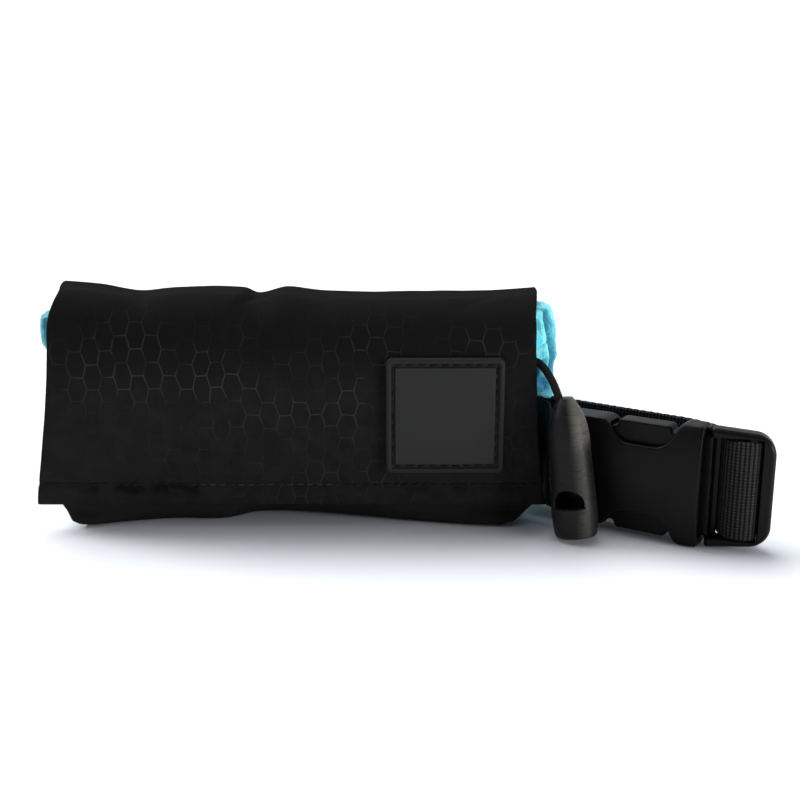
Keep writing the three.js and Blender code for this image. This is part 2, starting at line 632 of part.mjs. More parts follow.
function makeSocket() {
  const half = [
    corner(0, SOCKET.mouthHalf, SOCKET_CORNER.mouth),
    corner(WINDOW.x + WINDOW.radius, SOCKET.mouthHalf),
    corner(WINDOW.x - WINDOW.radius, SOCKET.shoulderHalf, SOCKET_CORNER.shoulder),
    corner(-SOCKET.length, SOCKET.endHalf, SOCKET_CORNER.end, { steps: 4 }),
  ];
  const mirrored = half.map(({ at, ...more }) => ({ ...more, at: new THREE.Vector2(at.x, -at.y) })).reverse();
  const shape = roundedShape([...half, ...mirrored]);
  const thick = 2 * SOCKET_THICK.middleHalf;
  const windows = [1, -1].map((side) => {
    const cut = new THREE.CylinderGeometry(WINDOW.radius, WINDOW.radius, 2 * thick, 2 * RING_SIDES);
    cut.translate(WINDOW.x, 0, side * WINDOW.z);
    return solidFrom(cut);
  });
  const slot = [SOCKET_SLOT.from, SOCKET_SLOT.to];
  const recess = [-SOCKET.length - PAST, SOCKET_SLOT.to];
  const across = symmetric(SOCKET_SLOT.half);
  const cuts = [
    boxSolid([-POCKET.depth, PAST], symmetric(POCKET.thick / 2), symmetric(POCKET.half)),
    boxSolid(slot, symmetric(thick), across),
    boxSolid(recess, [END_BAR_HALF_THICK, thick], across),
    boxSolid(recess, [-thick, -END_BAR_HALF_THICK], across),
    ...windows,
  ];
  const plate = plateSolid(shape, thick, SOCKET_BEVEL.size, SOCKET_BEVEL.depth);
  const body = plate.intersect(pillowSolid(SOCKET.length, SOCKET.mouthHalf, SOCKET_THICK));
  const socket = cuts.reduce((solid, cut) => solid.subtract(cut), body);
  addPiece(buckle, "buckle_socket", geometryFrom(socket), PLASTIC);
}

// One sprung prong on a side of the plug.
function prongSolid(side) {
  const outline = PRONG_OUTLINE.map(({ x, z, radius }) => corner(x, side * z, radius));
  const shape = roundedShape(side > 0 ? outline : outline.reverse());
  return plateSolid(shape, PRONG_THICK, PRONG_BEVEL, PRONG_BEVEL);
}

function makePlug() {
  const frameShape = roundedShape([
    corner(PLUG.from, -PLUG.startHalf),
    corner(PLUG.to, -PLUG.endHalf, PLUG.corner, { steps: 4 }),
    corner(PLUG.to, PLUG.endHalf, PLUG.corner, { steps: 4 }),
    corner(PLUG.from, PLUG.startHalf),
  ]);
  const frame = plateSolid(frameShape, PLUG.thick, PLUG_BEVEL.size, PLUG_BEVEL.depth);
  const opened = frame.subtract(
    boxSolid([PLUG_WINDOW.from, PLUG_WINDOW.to], symmetric(PLUG.thick), symmetric(PLUG_WINDOW.half)),
  );
  const bar = boxSolid(
    [LADDER_BAR.from, LADDER_BAR.to],
    symmetric(LADDER_BAR.halfThick),
    symmetric(PLUG_WINDOW.half + PAST),
  );
  const bent = solidFrom(geometryFrom(opened.add(bar)).rotateZ(BUCKLE.bend));
  const parts = [
    boxSolid([SHOULDER.from, SHOULDER.to], symmetric(SHOULDER.halfThick), symmetric(SHOULDER.half)),
    boxSolid([-TONGUE.length, SHOULDER.to], symmetric(TONGUE.thick / 2), symmetric(TONGUE.half)),
    prongSolid(1),
    prongSolid(-1),
  ];
  const plug = parts.reduce((solid, part) => solid.add(part), bent);
  addPiece(buckle, "buckle_plug", geometryFrom(plug), PLASTIC);
}

// A round cord along the trigger cord's route, carried on past its end by an allowance.
function cordGeometry(radius, allowance) {
  const points = CORD_ROUTE.map(({ x, y, z }) => new THREE.Vector3(x, y, z));
  const end = points.at(-1);
  const way = end.clone().sub(points.at(-2)).normalize();
  end.addScaledVector(way, allowance);
  const ring = new THREE.Shape();
  ring.absarc(0, 0, radius, 0, 2 * Math.PI);
  return new THREE.ExtrudeGeometry(ring, {
    extrudePath: new THREE.CatmullRomCurve3(points),
    steps: CORD_STEPS,
    curveSegments: CORD_SIDES,
  });
}

// The whistle, made on an upright axis with its window to the front, then leaned into place.
function makeWhistle() {
  const profile = WHISTLE_PROFILE.map(({ along, radius }) => new THREE.Vector2(radius, along));
  const closed = [new THREE.Vector2(0, 0), ...profile, new THREE.Vector2(0, profile.at(-1).y)];
  const body = solidFrom(new THREE.LatheGeometry(closed, RING_SIDES));
  const widest = Math.max(...WHISTLE_PROFILE.map(({ radius }) => radius));
  const windway = new THREE.CylinderGeometry(WINDWAY.radius, WINDWAY.radius, 2 * WINDWAY.depth, RING_SIDES);
  const rampHeight = LABIUM.to - LABIUM.from;
  const ramp = new THREE.ExtrudeGeometry(
    new THREE.Shape([
      new THREE.Vector2(widest - LABIUM.depth, LABIUM.from),
      new THREE.Vector2(widest + LABIUM.depth, LABIUM.from),
      new THREE.Vector2(widest + LABIUM.depth, LABIUM.from + 2 * rampHeight),
    ]),
    { depth: 2 * widest, bevelEnabled: false },
  );
  ramp.translate(0, 0, -widest);
  ramp.rotateY(-Math.PI / 2);
  const airSlot = boxSolid(symmetric(AIR_SLOT.width / 2), [AIR_SLOT.from, AIR_SLOT.to], [0, widest + PAST]);
  const cuts = [solidFrom(windway), solidFrom(ramp), airSlot];
  const cut = cuts.reduce((solid, tool) => solid.subtract(tool), body);
  const axis = WHISTLE_TIP.clone().sub(WHISTLE_MOUTH).normalize();
  const front = new THREE.Vector3(0, -1, 0);
  const across = new THREE.Vector3().crossVectors(axis, front).normalize();
  const facing = new THREE.Vector3().crossVectors(across, axis);
  const stand = new THREE.Matrix4().makeBasis(across, axis, facing).setPosition(WHISTLE_MOUTH);
  const leaned = solidFrom(geometryFrom(cut).applyMatrix4(stand));
  const bore = solidFrom(cordGeometry(CORD_RADIUS + GAP, GAP));
  addPiece(pack, "whistle", geometryFrom(leaned.subtract(bore)), PLASTIC);
}

makeFlap();
makePouchBody();
makeGusset("gusset_left", GUSSET_LEFT, -1, () => 0);
const cordSetback = (z) => CORD_SETBACK.depth * Math.exp(-(((z - CORD_SETBACK.z) / CORD_SETBACK.reach) ** 2));
makeGusset("gusset_right", GUSSET_RIGHT, 1, cordSetback);
makePatch();
makeSleeve();
makeBelt();
makeSocket();
makePlug();
addPiece(pack, "trigger_cord", cordGeometry(CORD_RADIUS, 0), BRAID);
makeWhistle();

export default pack;
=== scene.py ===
"""Looks of a belt pack for a folded inflatable float: embossed cloth, blue gussets, a rubber patch,
webbing, a moulded buckle, a whistle and a braided cord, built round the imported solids.

The tables and functions are in millimetres, as the solids' own sizes are. Blender's meshes are in metres.
+Z is up and the front faces -Y."""

import math

import bmesh
import bpy
import numpy as np
from mathutils import Matrix, Vector, noise


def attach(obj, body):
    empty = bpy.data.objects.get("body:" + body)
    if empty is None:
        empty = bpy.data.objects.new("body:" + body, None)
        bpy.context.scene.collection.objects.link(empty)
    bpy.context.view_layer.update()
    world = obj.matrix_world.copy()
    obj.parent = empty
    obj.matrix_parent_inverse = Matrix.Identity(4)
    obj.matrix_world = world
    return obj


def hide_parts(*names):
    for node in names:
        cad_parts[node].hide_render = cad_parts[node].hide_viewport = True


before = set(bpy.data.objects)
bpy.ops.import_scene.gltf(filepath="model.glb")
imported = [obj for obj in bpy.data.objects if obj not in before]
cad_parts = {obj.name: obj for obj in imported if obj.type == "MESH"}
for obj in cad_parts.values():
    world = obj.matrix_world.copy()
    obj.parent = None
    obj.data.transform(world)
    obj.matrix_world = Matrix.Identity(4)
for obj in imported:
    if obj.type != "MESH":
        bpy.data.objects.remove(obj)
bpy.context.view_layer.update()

# A millimetre in metres, and a unit of the cloth map in millimetres.
MM = 0.001
MAP_UNIT = 10.0
BODY = "root"


def table(names, *rows):
    """Named columns of numbers from rows."""
    return dict(zip(names.split(), np.array(rows, float).T))


# Cloth walls and the pouch across its depth, from the middle to its outer faces.
FLAP_THICK = 1.2
BODY_THICK = 1.4
GUSSET_THICK = 1.0
SLEEVE_THICK = 1.2
GAP = 0.35
FLAP_HALF_DEPTH = 21
BODY_HALF_DEPTH = 19.2
ROOM_HALF_DEPTH = 17.45
FRONT_TOP_RADIUS = 15
FRONT_FOOT_RADIUS = 5
BACK_TOP_RADIUS = 12
BACK_FOOT_RADIUS = 6
FLAP_HEM_Z = 7.6
FLAP_BACK_Z = 46
BODY_BACK_TOP_Z = 56
SWELL = {"out": 1.5, "half_width": 82, "low_z": 8, "high_z": 62}

# The flap's top line, its side edges and how far its sides spread towards the back of its top; then the
# body's side edges, how its front foot is rounded and bulges, and its front's top.
RIDGE = table(
    "x top",
    (-73, 73.2),
    (-61, 72.1),
    (-48.5, 70.2),
    (-37, 71.3),
    (-17, 71.2),
    (-11.5, 69.4),
    (-3, 71.2),
    (9.5, 69.8),
    (58, 70.0),
    (75, 71.1),
)
FLAP_EDGES = table(
    "z left right",
    (8, -79.3, 77.9),
    (12, -78.8, 77.0),
    (26, -76.6, 75.5),
    (41, -74.4, 74.4),
    (57, -72.7, 73.6),
    (62, -72.6, 73.7),
    (67, -72.3, 73.8),
    (72, -71.4, 75.0),
)
TOP_SPREAD = {"left": 4.0, "right": 1.9, "from_y": -12, "to_y": 9}
BODY_EDGES = table(
    "z left right",
    (0, -65.5, 63.4),
    (2, -68.4, 67.4),
    (4, -70.3, 70.6),
    (6.5, -72.2, 73.8),
    (9, -73.6, 75.0),
    (20, -71.5, 72.6),
    (64, -69.5, 72.0),
)
FOOT = table(
    "x radius forward",
    (-63, 5, 3.8),
    (-53, 6, 1.4),
    (-38, 8, 0),
    (-22, 8, 0),
    (-12, 15, 0),
    (2, 16, 0),
    (26, 10, 0),
    (43, 6, 1.4),
    (55, 5, 3.4),
    (66, 5, 3.8),
)
FOOT_BULGE = {"full_z": 1, "end_z": 5}
FRONT_TOP = table("x z", (-70, 53), (50, 53), (62, 43), (73, 43))

# Soft dents in the front, creases in the flap from a place to another across and up its cloth, how a
# crease starts and ends as shares of its length, and the cloths' unevenness.
DENTS = table(
    "x z depth wide tall",
    (-47, 67, 1.5, 7, 9),
    (-11.5, 66, 1.7, 6, 9),
    (9, 66, 1.0, 6, 8),
    (-42, 22, 1.0, 16, 9),
    (4, 31, 0.9, 14, 15),
)
CREASES = table(
    "x0 up0 x1 up1 depth wide",
    (-49, 74, -44, 52, 0.6, 1.8),
    (-12, 75, -20, 50, 0.8, 2.0),
    (-10, 75, -4, 62, 0.5, 1.4),
    (9, 74, 13, 58, 0.5, 1.6),
    (62, 72, 46, 58, 0.4, 2.2),
    (-67, 68, -58, 42, 0.4, 2.6),
    (20, 40, 24, 14, 0.3, 3.0),
)
CREASE_START = (-0.15, 0.2)
CREASE_END = (0.5, 1.1)
FLAP_ROUGH = table("height wide shift", (0.32, 21, 0), (0.16, 8, 5))
BODY_ROUGH = {"height": 0.3, "wide": 9, "shift": 2, "rise": (0, 3), "fall": (9, 14), "front": (4, 14)}

# Where the flap's embossed lines show best, by place across the flap and up from its hem. The lines are the
# cloth's pattern; how strongly they show from place to place is painted highlight.
EMBOSS = table(
    "x up wide tall shown",
    (-50, 44, 22, 12, 1.0),
    (-20, 38, 18, 13, 1.0),
    (10, 33, 20, 13, 0.9),
    (-20, 14, 40, 8, 0.25),
    (24, 47, 16, 10, 0.6),
    (60, 49, 18, 6, 0.6),
    (14, 6, 28, 9, 0.6),
    (66, 22, 8, 16, 0.3),
)

# The flap's hem: a band of double cloth below a row of stitches, puckered along some stretches.
HEM = {"stitch_z": 14.1, "stands": 0.45, "fade": (-0.5, 0.3), "front": (8, 16)}
HEM_GROOVE = {"deep": 0.4, "wide": 0.55}
HEM_STITCH = {"long": 2.1, "pitch": 3.0, "radius": 0.28, "from_end": 2.5}
PUCKERS = table(
    "from_x to_x depth tall",
    (-67, -59, 0.8, 1.3),
    (-57, -45, 1.0, 1.8),
    (-46, -27, 1.0, 1.5),
    (-20, -8, 0.3, 1.2),
    (31, 43, 0.5, 1.2),
    (47, 57, 0.6, 1.4),
    (60, 73, 0.6, 1.3),
)
PUCKER_LINE = {"below": 1.6, "sway": 0.9, "wide": 4.0, "shift": 0.3}
PUCKER_RAGGED = {"wide": 2.2, "tall": 1.4, "shift": 0.6, "step": (-0.5, 0.0)}
PUCKER_END = 3

# A gusset's edges are sewn in under the body's and held flat for a share of the way round. Folds, creases
# and crumples draw its cloth in; painted shade darkens its folds, its creases and, on the right, below the
# cord.
GUSSET_EDGE_INSET = 1.6
GUSSET_OUT = 0.15
GUSSET_HELD = 0.12
GUSSET_FOLD = {"wide": 0.02, "lip": 0.01, "full_depth": 2, "shade": 0.65, "shade_reach": 0.11}
GUSSET_ROLL = {"at": 0.065, "wide": 0.04, "high": 0.35}
CORD_SHADE = {"z": (44, 55), "round": (0.22, 0.42), "most": 0.9}
CRUMPLE = table("height wide shift upright", (0.8, 6.0, 3.0, 0.55), (0.4, 2.6, 9.0, 1.0))
LEFT_CREASES = 0.3
CREASE_SHADE = 0.5
GUSSET_TOP_Z = 69.4

# Each gusset from the base up: how far out it stands, how square its section is (less is squarer), where
# round it, as a share of the way from the front to the back, a fold sets off its rolled outer edge, how deep
# that fold is, and how far its outermost cloth droops.
GUSSET_RIGHT = table(
    "z reach square at fold droop",
    (3.2, 67.4, 0.75, 0.3, 0, 0),
    (9, 73.0, 0.75, 0.3, 0, 0),
    (22, 73.4, 0.75, 0.3, 0.2, 0),
    (40.4, 73.8, 1.2, 0.3, 0.2, 1.0),
    (41.8, 80.0, 2.2, 0.3, 0.3, 5.0),
    (43.5, 82.4, 1.8, 0.3, 0.6, 5.6),
    (46, 82.0, 0.9, 0.29, 1.0, 3.0),
    (49, 81.8, 0.7, 0.27, 1.8, 0.8),
    (52, 82.9, 0.72, 0.255, 2.4, 0),
    (55, 82.4, 0.72, 0.24, 2.6, 0),
    (60, 82.3, 0.75, 0.205, 2.6, 0),
    (64, 81.4, 0.75, 0.195, 2.6, 0),
    (65.6, 80.9, 0.72, 0.2, 2.4, 0),
    (66.6, 79.8, 0.7, 0.2, 1.8, 0),
    (67.2, 75.4, 0.75, 0.2, 0.4, 0),
    (68.1, 71.6, 0.75, 0.2, 0, 0),
    (69.0, 67.0, 0.75, 0.2, 0, 0),
)
GUSSET_LEFT = table(
    "z reach square at fold droop",
    (3.2, 67.2, 0.75, 0.26, 0, 0),
    (9, 73.0, 0.75, 0.26, 0, 0),
    (30, 72.2, 0.75, 0.26, 0.2, 0),
    (48, 73.0, 0.75, 0.13, 0.2, 0),
    (53, 76.0, 0.62, 0.1, 0.2, 0),
    (56.5, 78.6, 0.55, 0.1, 0.25, 0),
    (60, 79.4, 0.5, 0.1, 0.3, 0),
    (63.4, 79.5, 0.45, 0.1, 0.3, 0),
    (64.6, 79.0, 0.42, 0.1, 0.3, 0),
    (65.2, 75.5, 0.5, 0.1, 0.2, 0),
    (66.8, 71.6, 0.6, 0.1, 0, 0),
    (68.9, 65.0, 0.75, 0.1, 0, 0),
)
GUSSET_CREASES = table(
    "y0 z0 y1 z1 depth wide",
    (-11, 51, -17, 45, 2.2, 0.7),
    (-13, 58, -16.5, 53, 0.9, 0.5),
    (-9, 60, -3, 58, 1.2, 0.5),
    (-10, 57.5, -3, 56.5, 1.0, 0.45),
    (-15, 47, -9, 41, 1.5, 0.7),
    (-17, 42, -10, 38, 1.2, 0.7),
    (-14, 65, -16, 60, 0.7, 0.5),
)
CORD_SETBACK = {"z": 51, "depth": 4.2, "reach": 5}

# The patch: a raised rim, a sewn groove inside it and a bare field, on a grid that is finer at its edges.
PATCH = {"x": 46.6, "z": 36.3, "side": 35.8, "corner": 2.0, "gap": 0.3}
PATCH_RIM = {"wide": 1.7, "high": 1.9, "foot": 1.2}
PATCH_GROOVE = {"wide": 1.0, "high": 0.9}
PATCH_FIELD = {"high": 1.6, "rise": (-0.15, 0.3), "edge": (-0.2, 0.2)}
PATCH_LINES = {"fine_to": 4, "fine": 34, "coarse_from": 4.4, "coarse": 22}
PATCH_STITCH = {"long": 2.5, "pitch": 3.35, "radius": 0.3, "lift": 0.02}

# The belt, its sleeve and its turns in plan.
BELT = {"width": 30, "thick": 1.6}
BELT_LINES = {"step": 0.7, "flat": 14, "round": 7}
SELVAGE = {"high": 0.09, "pitch": 2.5}
BELT_SLEEVE_Z = 22
SLEEVE = {"half_width": 48, "room_half": 15.7, "edge": 3.2, "corner": 1.2}
SLEEVE_ROUGH = {"height": 0.12, "wide": 10, "shift": 7}
SLEEVE_STITCH = {"long": 2.1, "pitch": 3.0, "radius": 0.28, "from_end": 2}
SLEEVE_SEAM = {"past": 1.9, "lift": 0.05, "lean": 0.8}
BACK_Y = BODY_HALF_DEPTH + GAP + BELT["thick"] / 2
SEWN_END = (77.4, 3.4)
SEWN_LEAD = (80.6, -1.9)
SEWN_LIFT = 4
RETURN_RISE = 1.6
POUCH_SIDE = (77.2, 7.5)
POUCH_CORNER = (76.2, BACK_Y)
LEFT_HIP = (-94, BACK_Y)
LOOP_LEFT = (-112, 240)
LOOP_RIGHT = (98, 240)
LOOP_RETURN = (79.4, 10.2)
TAIL = {"end": -34, "room": 4.4, "return_at": -12, "droop": 1.8}
BEHIND_PLUG = 6.5

# The buckle in its own axes: x along it from the seam, y through it to the back, z across it. The plug's
# shoulder carries its prongs and tongue, and its frame's face is sunk between the seam and the window.
BUCKLE = {"seam": (122.6, -36, 18.7), "yaw": math.radians(33), "bend": math.radians(18)}
SOCKET = {"length": 47, "mouth_half": 18.7, "shoulder_half": 17.2, "end_half": 16.8}
SOCKET_THICK = {"middle_half": 6.2, "edge_half": 2.9}
SOCKET_ROUND = {"mouth": 1.2, "near": 2.4, "far": 4.2, "end": 5}
POCKET = {"depth": 37.2, "half": 15.7, "thick": 7.0}
WINDOW = {"x": -18, "z": 21, "radius": 10.4, "lean": 2.6, "corner": 7.0, "near_out": 0.6, "far_out": 0.8}
SOCKET_SLOT = {"from": -44, "to": -40.4, "half": 15.4}
END_BAR_HALF = 2.0
PLUG = {"from": 1.0, "to": 19.3, "start_half": 18.3, "end_half": 16.7, "thick": 6.0}
PLUG_ROUND = {"start": 0.6, "end": 6.4, "bevel": 0.9}
PLUG_WINDOW = {"from": 4.2, "to": 15.7, "half": 15.4}
PLUG_RECESS = {"from": 0.5, "deep": 1.8}
WEB_OUT = 14.85
WEB_IN = 5.1
WEB_BULGE = 0.7
LADDER_BAR = {"from": 8.4, "to": 11.4, "half_thick": 1.3}
PRONG_THICK = 6.2
PRONG_BEVEL = 0.5
TONGUE = {"length": 28, "root": -3, "half": 1.6, "thick": 4.4}
SHOULDER = {"from": -4, "to": 1.8, "half": 15.5, "front": -0.4, "back": 2.4}
PRONG = (
    (-3, 9.6, 0),
    (-3, 15.5, 0),
    (-9.7, 15.5, 0.6),
    (-10.2, 17.3, 1.2),
    (-26, 17.3, 1.2),
    (-26.6, 15.4, 0.6),
    (-36, 12.2, 1.5),
    (-36, 9.2, 1),
    (-28, 9.6, 4),
)

# The whistle on its own axis from the rim of its mouth, and the cord's route.
WHISTLE_MOUTH = Vector((86.5, -30.6, 1.4))
WHISTLE_TIP = Vector((82.3, -26.8, 42.4))
WHISTLE = table(
    "along radius",
    (0.0, 6.3),
    (1.6, 6.6),
    (7.0, 6.95),
    (13.0, 6.75),
    (25.0, 6.35),
    (31.0, 6.15),
    (36.0, 5.2),
    (39.5, 3.7),
    (41.5, 2.5),
    (42.1, 2.1),
)
WINDWAY = {"radius": 4.4, "depth": 16.5}
LABIUM = {"from": 9.3, "to": 15.4, "depth": 2.2}
AIR_SLOT = {"from": 9.2, "to": 15.0, "width": 9.2, "round": 4.3, "corner": 0.1}
WINDOW_TURN = math.radians(-24)
# Painted highlight: a pale streak up the whistle's right side that spreads over its shoulder, leaning with
# its axis.
HIGHLIGHT_STREAK = {
    "lean": 0.1024,
    "from_x": 85.6,
    "full_x": 88.4,
    "fade_x": 89.2,
    "end_x": 91.2,
    "shoulder_z": 25,
    "tip_z": 35,
    "low": 0.2,
    "high": 0.7,
}
CORD_RADIUS = 1.2
CORD_ROUTE = (
    (57.0, -16.4, 46.0),
    (64.0, -16.5, 48.8),
    (70.0, -17.0, 51.4),
    (73.6, -17.9, 52.3),
    (75.7, -19.2, 51.3),
    (77.0, -21.8, 49.9),
    (78.5, -24.4, 47.4),
    (79.8, -26.0, 44.2),
    (81.2, -27.0, 40.2),
)

# The embossed hexagons, in columns side by side, each taller than wide; the cloth's weave; how far up
# from its hem painted shade darkens the flap; the whistle's fine rings; how far a thread's wear fades out.
HEX = {"column": 4.8, "tall": 7.65, "flat_half": 1.8, "line": 0.3, "wander": 5.0}
WEAVE_PITCH = 0.62
TOP_PAINTED_SHADE = (30.0, 52.0)
RING_PITCH = 0.62
THREAD_FADE = 8

# How far cutting and joined forms run past each other, how finely each moulded piece is remeshed, and how
# often it is then smoothed.
OVERLAP = 1
SOCKET_FINISH = {"voxel": 0.33, "passes": 12}
PLUG_FINISH = {"voxel": 0.3, "passes": 4}
WHISTLE_FINISH = {"voxel": 0.22, "passes": 3}

# The camera, worked out from the photograph, and the floor, whose sizes are in metres.
CAMERA = {"at": (33, -336.3, 119.5), "pitch": math.radians(14), "lens": 48.24, "sensor": 36}
FLOOR = {"reach": 4.0, "below": 0.0001}


def smooth(value, low, high):
    """A soft step from 0 at a low value to 1 at a high one."""
    share = np.clip((value - low) / (high - low), 0, 1)
    return share * share * (3 - 2 * share)


def hump(value, middle, reach):
    """A soft hump of height 1 round a middle."""
    return np.exp(-(((value - middle) / reach) ** 2))


def unit(vectors):
    return vectors / np.linalg.norm(vectors, axis=-1, keepdims=True)


def column_at(rows, along, column, place):
    """A column's value at places along another column, by a cubic through the rows."""
    at, value = rows[along], rows[column]
    place = np.clip(place, at[0], at[-1])
    last = len(at) - 1
    k = np.clip(np.searchsorted(at, place, "right") - 1, 0, last - 1)
    before = np.maximum(k - 1, 0)
    after = np.minimum(k + 2, last)
    span = at[k + 1] - at[k]
    t = (place - at[k]) / span
    start = (value[k + 1] - value[before]) / (at[k + 1] - at[before]) * span
    end = (value[after] - value[k]) / (at[after] - at[k]) * span
    rise = value[k + 1] - value[k]
    return value[k] + t * (start + t * (3 * rise - 2 * start - end + t * (start + end - 2 * rise)))


def rough(points, scale, shift=0.0):
    """Smooth noise from -1 to 1 at points, whose features are about that many millimetres wide."""
    flat = points.reshape(-1, 3) / scale + shift
    return np.array([noise.noise(Vector(p)) for p in flat]).reshape(points.shape[:-1])


def rounded_path(corners, step):
    """An open path through (a, b, radius) corners, with points a step apart at most. Each point's place
    is its corner's index on an arc, and a fraction more on the straight run after it."""
    points = [np.array(corners[0][:2], float)]
    places = [0.0]

    def straight_to(end, k):
        start = points[-1]
        runs = max(1, math.ceil(np.linalg.norm(end - start) / step))
        for i in range(1, runs):
            points.append(start + (end - start) * i / runs)
            places.append(k - 1 + i / runs)

    for k in range(1, len(corners) - 1):
        before, at, after = (np.array(corners[n][:2], float) for n in (k - 1, k, k + 1))
        into = unit(at - before)
        out = unit(after - at)
        turn = math.atan2(into[0] * out[1] - into[1] * out[0], into @ out)
        radius = corners[k][2]
        start = at - into * radius * math.tan(abs(turn) / 2)
        centre = start + np.array((-into[1], into[0])) * math.copysign(radius, turn)
        straight_to(start, k)
        arcs = max(1, math.ceil(abs(turn) * radius / step))
        spoke = start - centre
        for i in range(arcs + 1):
            c, s = math.cos(turn * i / arcs), math.sin(turn * i / arcs)
            points.append(centre + np.array((spoke[0] * c - spoke[1] * s, spoke[0] * s + spoke[1] * c)))
            places.append(float(k))
    end = np.array(corners[-1][:2], float)
    straight_to(end, len(corners) - 1)
    points.append(end)
    places.append(float(len(corners) - 1))
    return np.array(points), np.array(places)


def lengths_along(points):
    return np.concatenate([[0], np.cumsum(np.linalg.norm(np.diff(points, axis=0), axis=1))])


def resampled(points, count):
    """A path's points at even spacing, and how far along each lies."""
    lengths = lengths_along(points)
    places = np.linspace(0, lengths[-1], count)
    return np.stack([np.interp(places, lengths, axis) for axis in points.T], axis=1), places


def grid_normals(grid):
    across = np.gradient(grid, axis=1)
    along = np.gradient(grid, axis=0)
    return unit(np.cross(across, along))


def make_mesh(name, points, faces, uv=None):
    """A smooth mesh from points in millimetres, with a cloth map in centimetres where it has one."""
    mesh = bpy.data.meshes.new(name)
    mesh.from_pydata((np.asarray(points) * MM).tolist(), [], faces)
    if uv is not None:
        corners = np.zeros(len(mesh.loops), int)
        mesh.loops.foreach_get("vertex_index", corners)
        layer = mesh.uv_layers.new(name="cloth")
        layer.data.foreach_set("uv", (np.asarray(uv)[corners] / MAP_UNIT).ravel())
    mesh.shade_smooth()
    mesh.update()
    return mesh


def add_object(name, data):
    """A new object in the scene."""
    item = bpy.data.objects.new(name, data)
    bpy.context.scene.collection.objects.link(item)
    return item


def add_piece(name, mesh, material, slot, *replaced):
    """A visible piece, and the solids that it takes the place of."""
    piece = add_object(name, mesh)
    mesh.materials.clear()
    mesh.materials.append(material)
    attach(piece, BODY)
    if replaced:
        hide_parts(*replaced)
    return piece


def add_layer(mesh, name, values):
    """Keeps a value for each point; a shell's inner face repeats the values of its outer face."""
    layer = mesh.attributes.new(name, "FLOAT", "POINT")
    layer.data.foreach_set("value", np.resize(values.ravel(), len(mesh.vertices)))


def grid_faces(rows, columns, start=0, flip=False):
    faces = []
    for i in range(rows - 1):
        for j in range(columns - 1):
            a = start + i * columns + j
            quad = (a, a + 1, a + columns + 1, a + columns)
            faces.append(quad[::-1] if flip else quad)
    return faces


def loft_faces(rings, count, start=0):
    """Faces of a closed form through rings of points, with a cap on its first and its last ring."""
    faces = []
    for ring in range(rings - 1):
        for k in range(count):
            a = start + ring * count + k
            b = start + ring * count + (k + 1) % count
            faces.append((a, b, b + count, a + count))
    faces.append(tuple(start + k for k in reversed(range(count))))
    faces.append(tuple(start + (rings - 1) * count + k for k in range(count)))
    return faces


def border_of(rows, columns):
    """The indices round a grid's edge, in order."""
    first = list(range(columns))
    right = [i * columns + columns - 1 for i in range(1, rows)]
    last = [(rows - 1) * columns + j for j in range(columns - 2, -1, -1)]
    left = [i * columns for i in range(rows - 2, 0, -1)]
    return first + right + last + left


def shell_mesh(name, outer, thick, uv):
    """A cloth wall: its outer face is a grid, its inner face lies behind, and its rims are round."""
    rows, columns = outer.shape[:2]
    normals = grid_normals(outer)
    inner = outer - normals * thick
    count = rows * columns
    border = border_of(rows, columns)
    flat_outer = outer.reshape(-1, 3)
    flat_inner = inner.reshape(-1, 3)
    flat_normal = normals.reshape(-1, 3)
    loop = flat_outer[border]
    way = np.roll(loop, -1, axis=0) - np.roll(loop, 1, axis=0)
    away = unit(np.cross(way, flat_normal[border]))
    rim = (flat_outer[border] + flat_inner[border]) / 2 + away * thick / 4
    points = np.concatenate([flat_outer, flat_inner, rim])
    faces = grid_faces(rows, columns) + grid_faces(rows, columns, count, flip=True)
    around = len(border)
    for n in range(around):
        a, b = border[n], border[(n + 1) % around]
        mid_a, mid_b = 2 * count + n, 2 * count + (n + 1) % around
        faces.append((b, a, mid_a, mid_b))
        faces.append((mid_b, mid_a, count + a, count + b))
    flat_uv = uv.reshape(-1, 2)
    return make_mesh(name, points, faces, np.concatenate([flat_uv, flat_uv, flat_uv[border]]))


# Materials.


class Nodes:
    """A node tree, with helpers that make its nodes and link them."""

    def __init__(self, tree):
        self.tree = tree

    def set(self, node, socket, value):
        if isinstance(value, bpy.types.NodeSocket):
            self.tree.links.new(value, node.inputs[socket])
        else:
            node.inputs[socket].default_value = value

    def node(self, kind, output, inputs=None, **settings):
        node = self.tree.nodes.new("ShaderNode" + kind)
        for setting, value in settings.items():
            setattr(node, setting, value)
        for socket, value in (inputs or {}).items():
            self.set(node, socket, value)
        return node.outputs[output]

    def math(self, operation, a, b=0.0):
        return self.node("Math", 0, {0: a, 1: b}, operation=operation)

    def product(self, first, *others):
        for other in others:
            first = self.math("MULTIPLY", first, other)
        return first

    def parts(self, vector):
        """A vector's x, y and z."""
        node = self.tree.nodes.new("ShaderNodeSeparateXYZ")
        self.set(node, 0, vector)
        return node.outputs


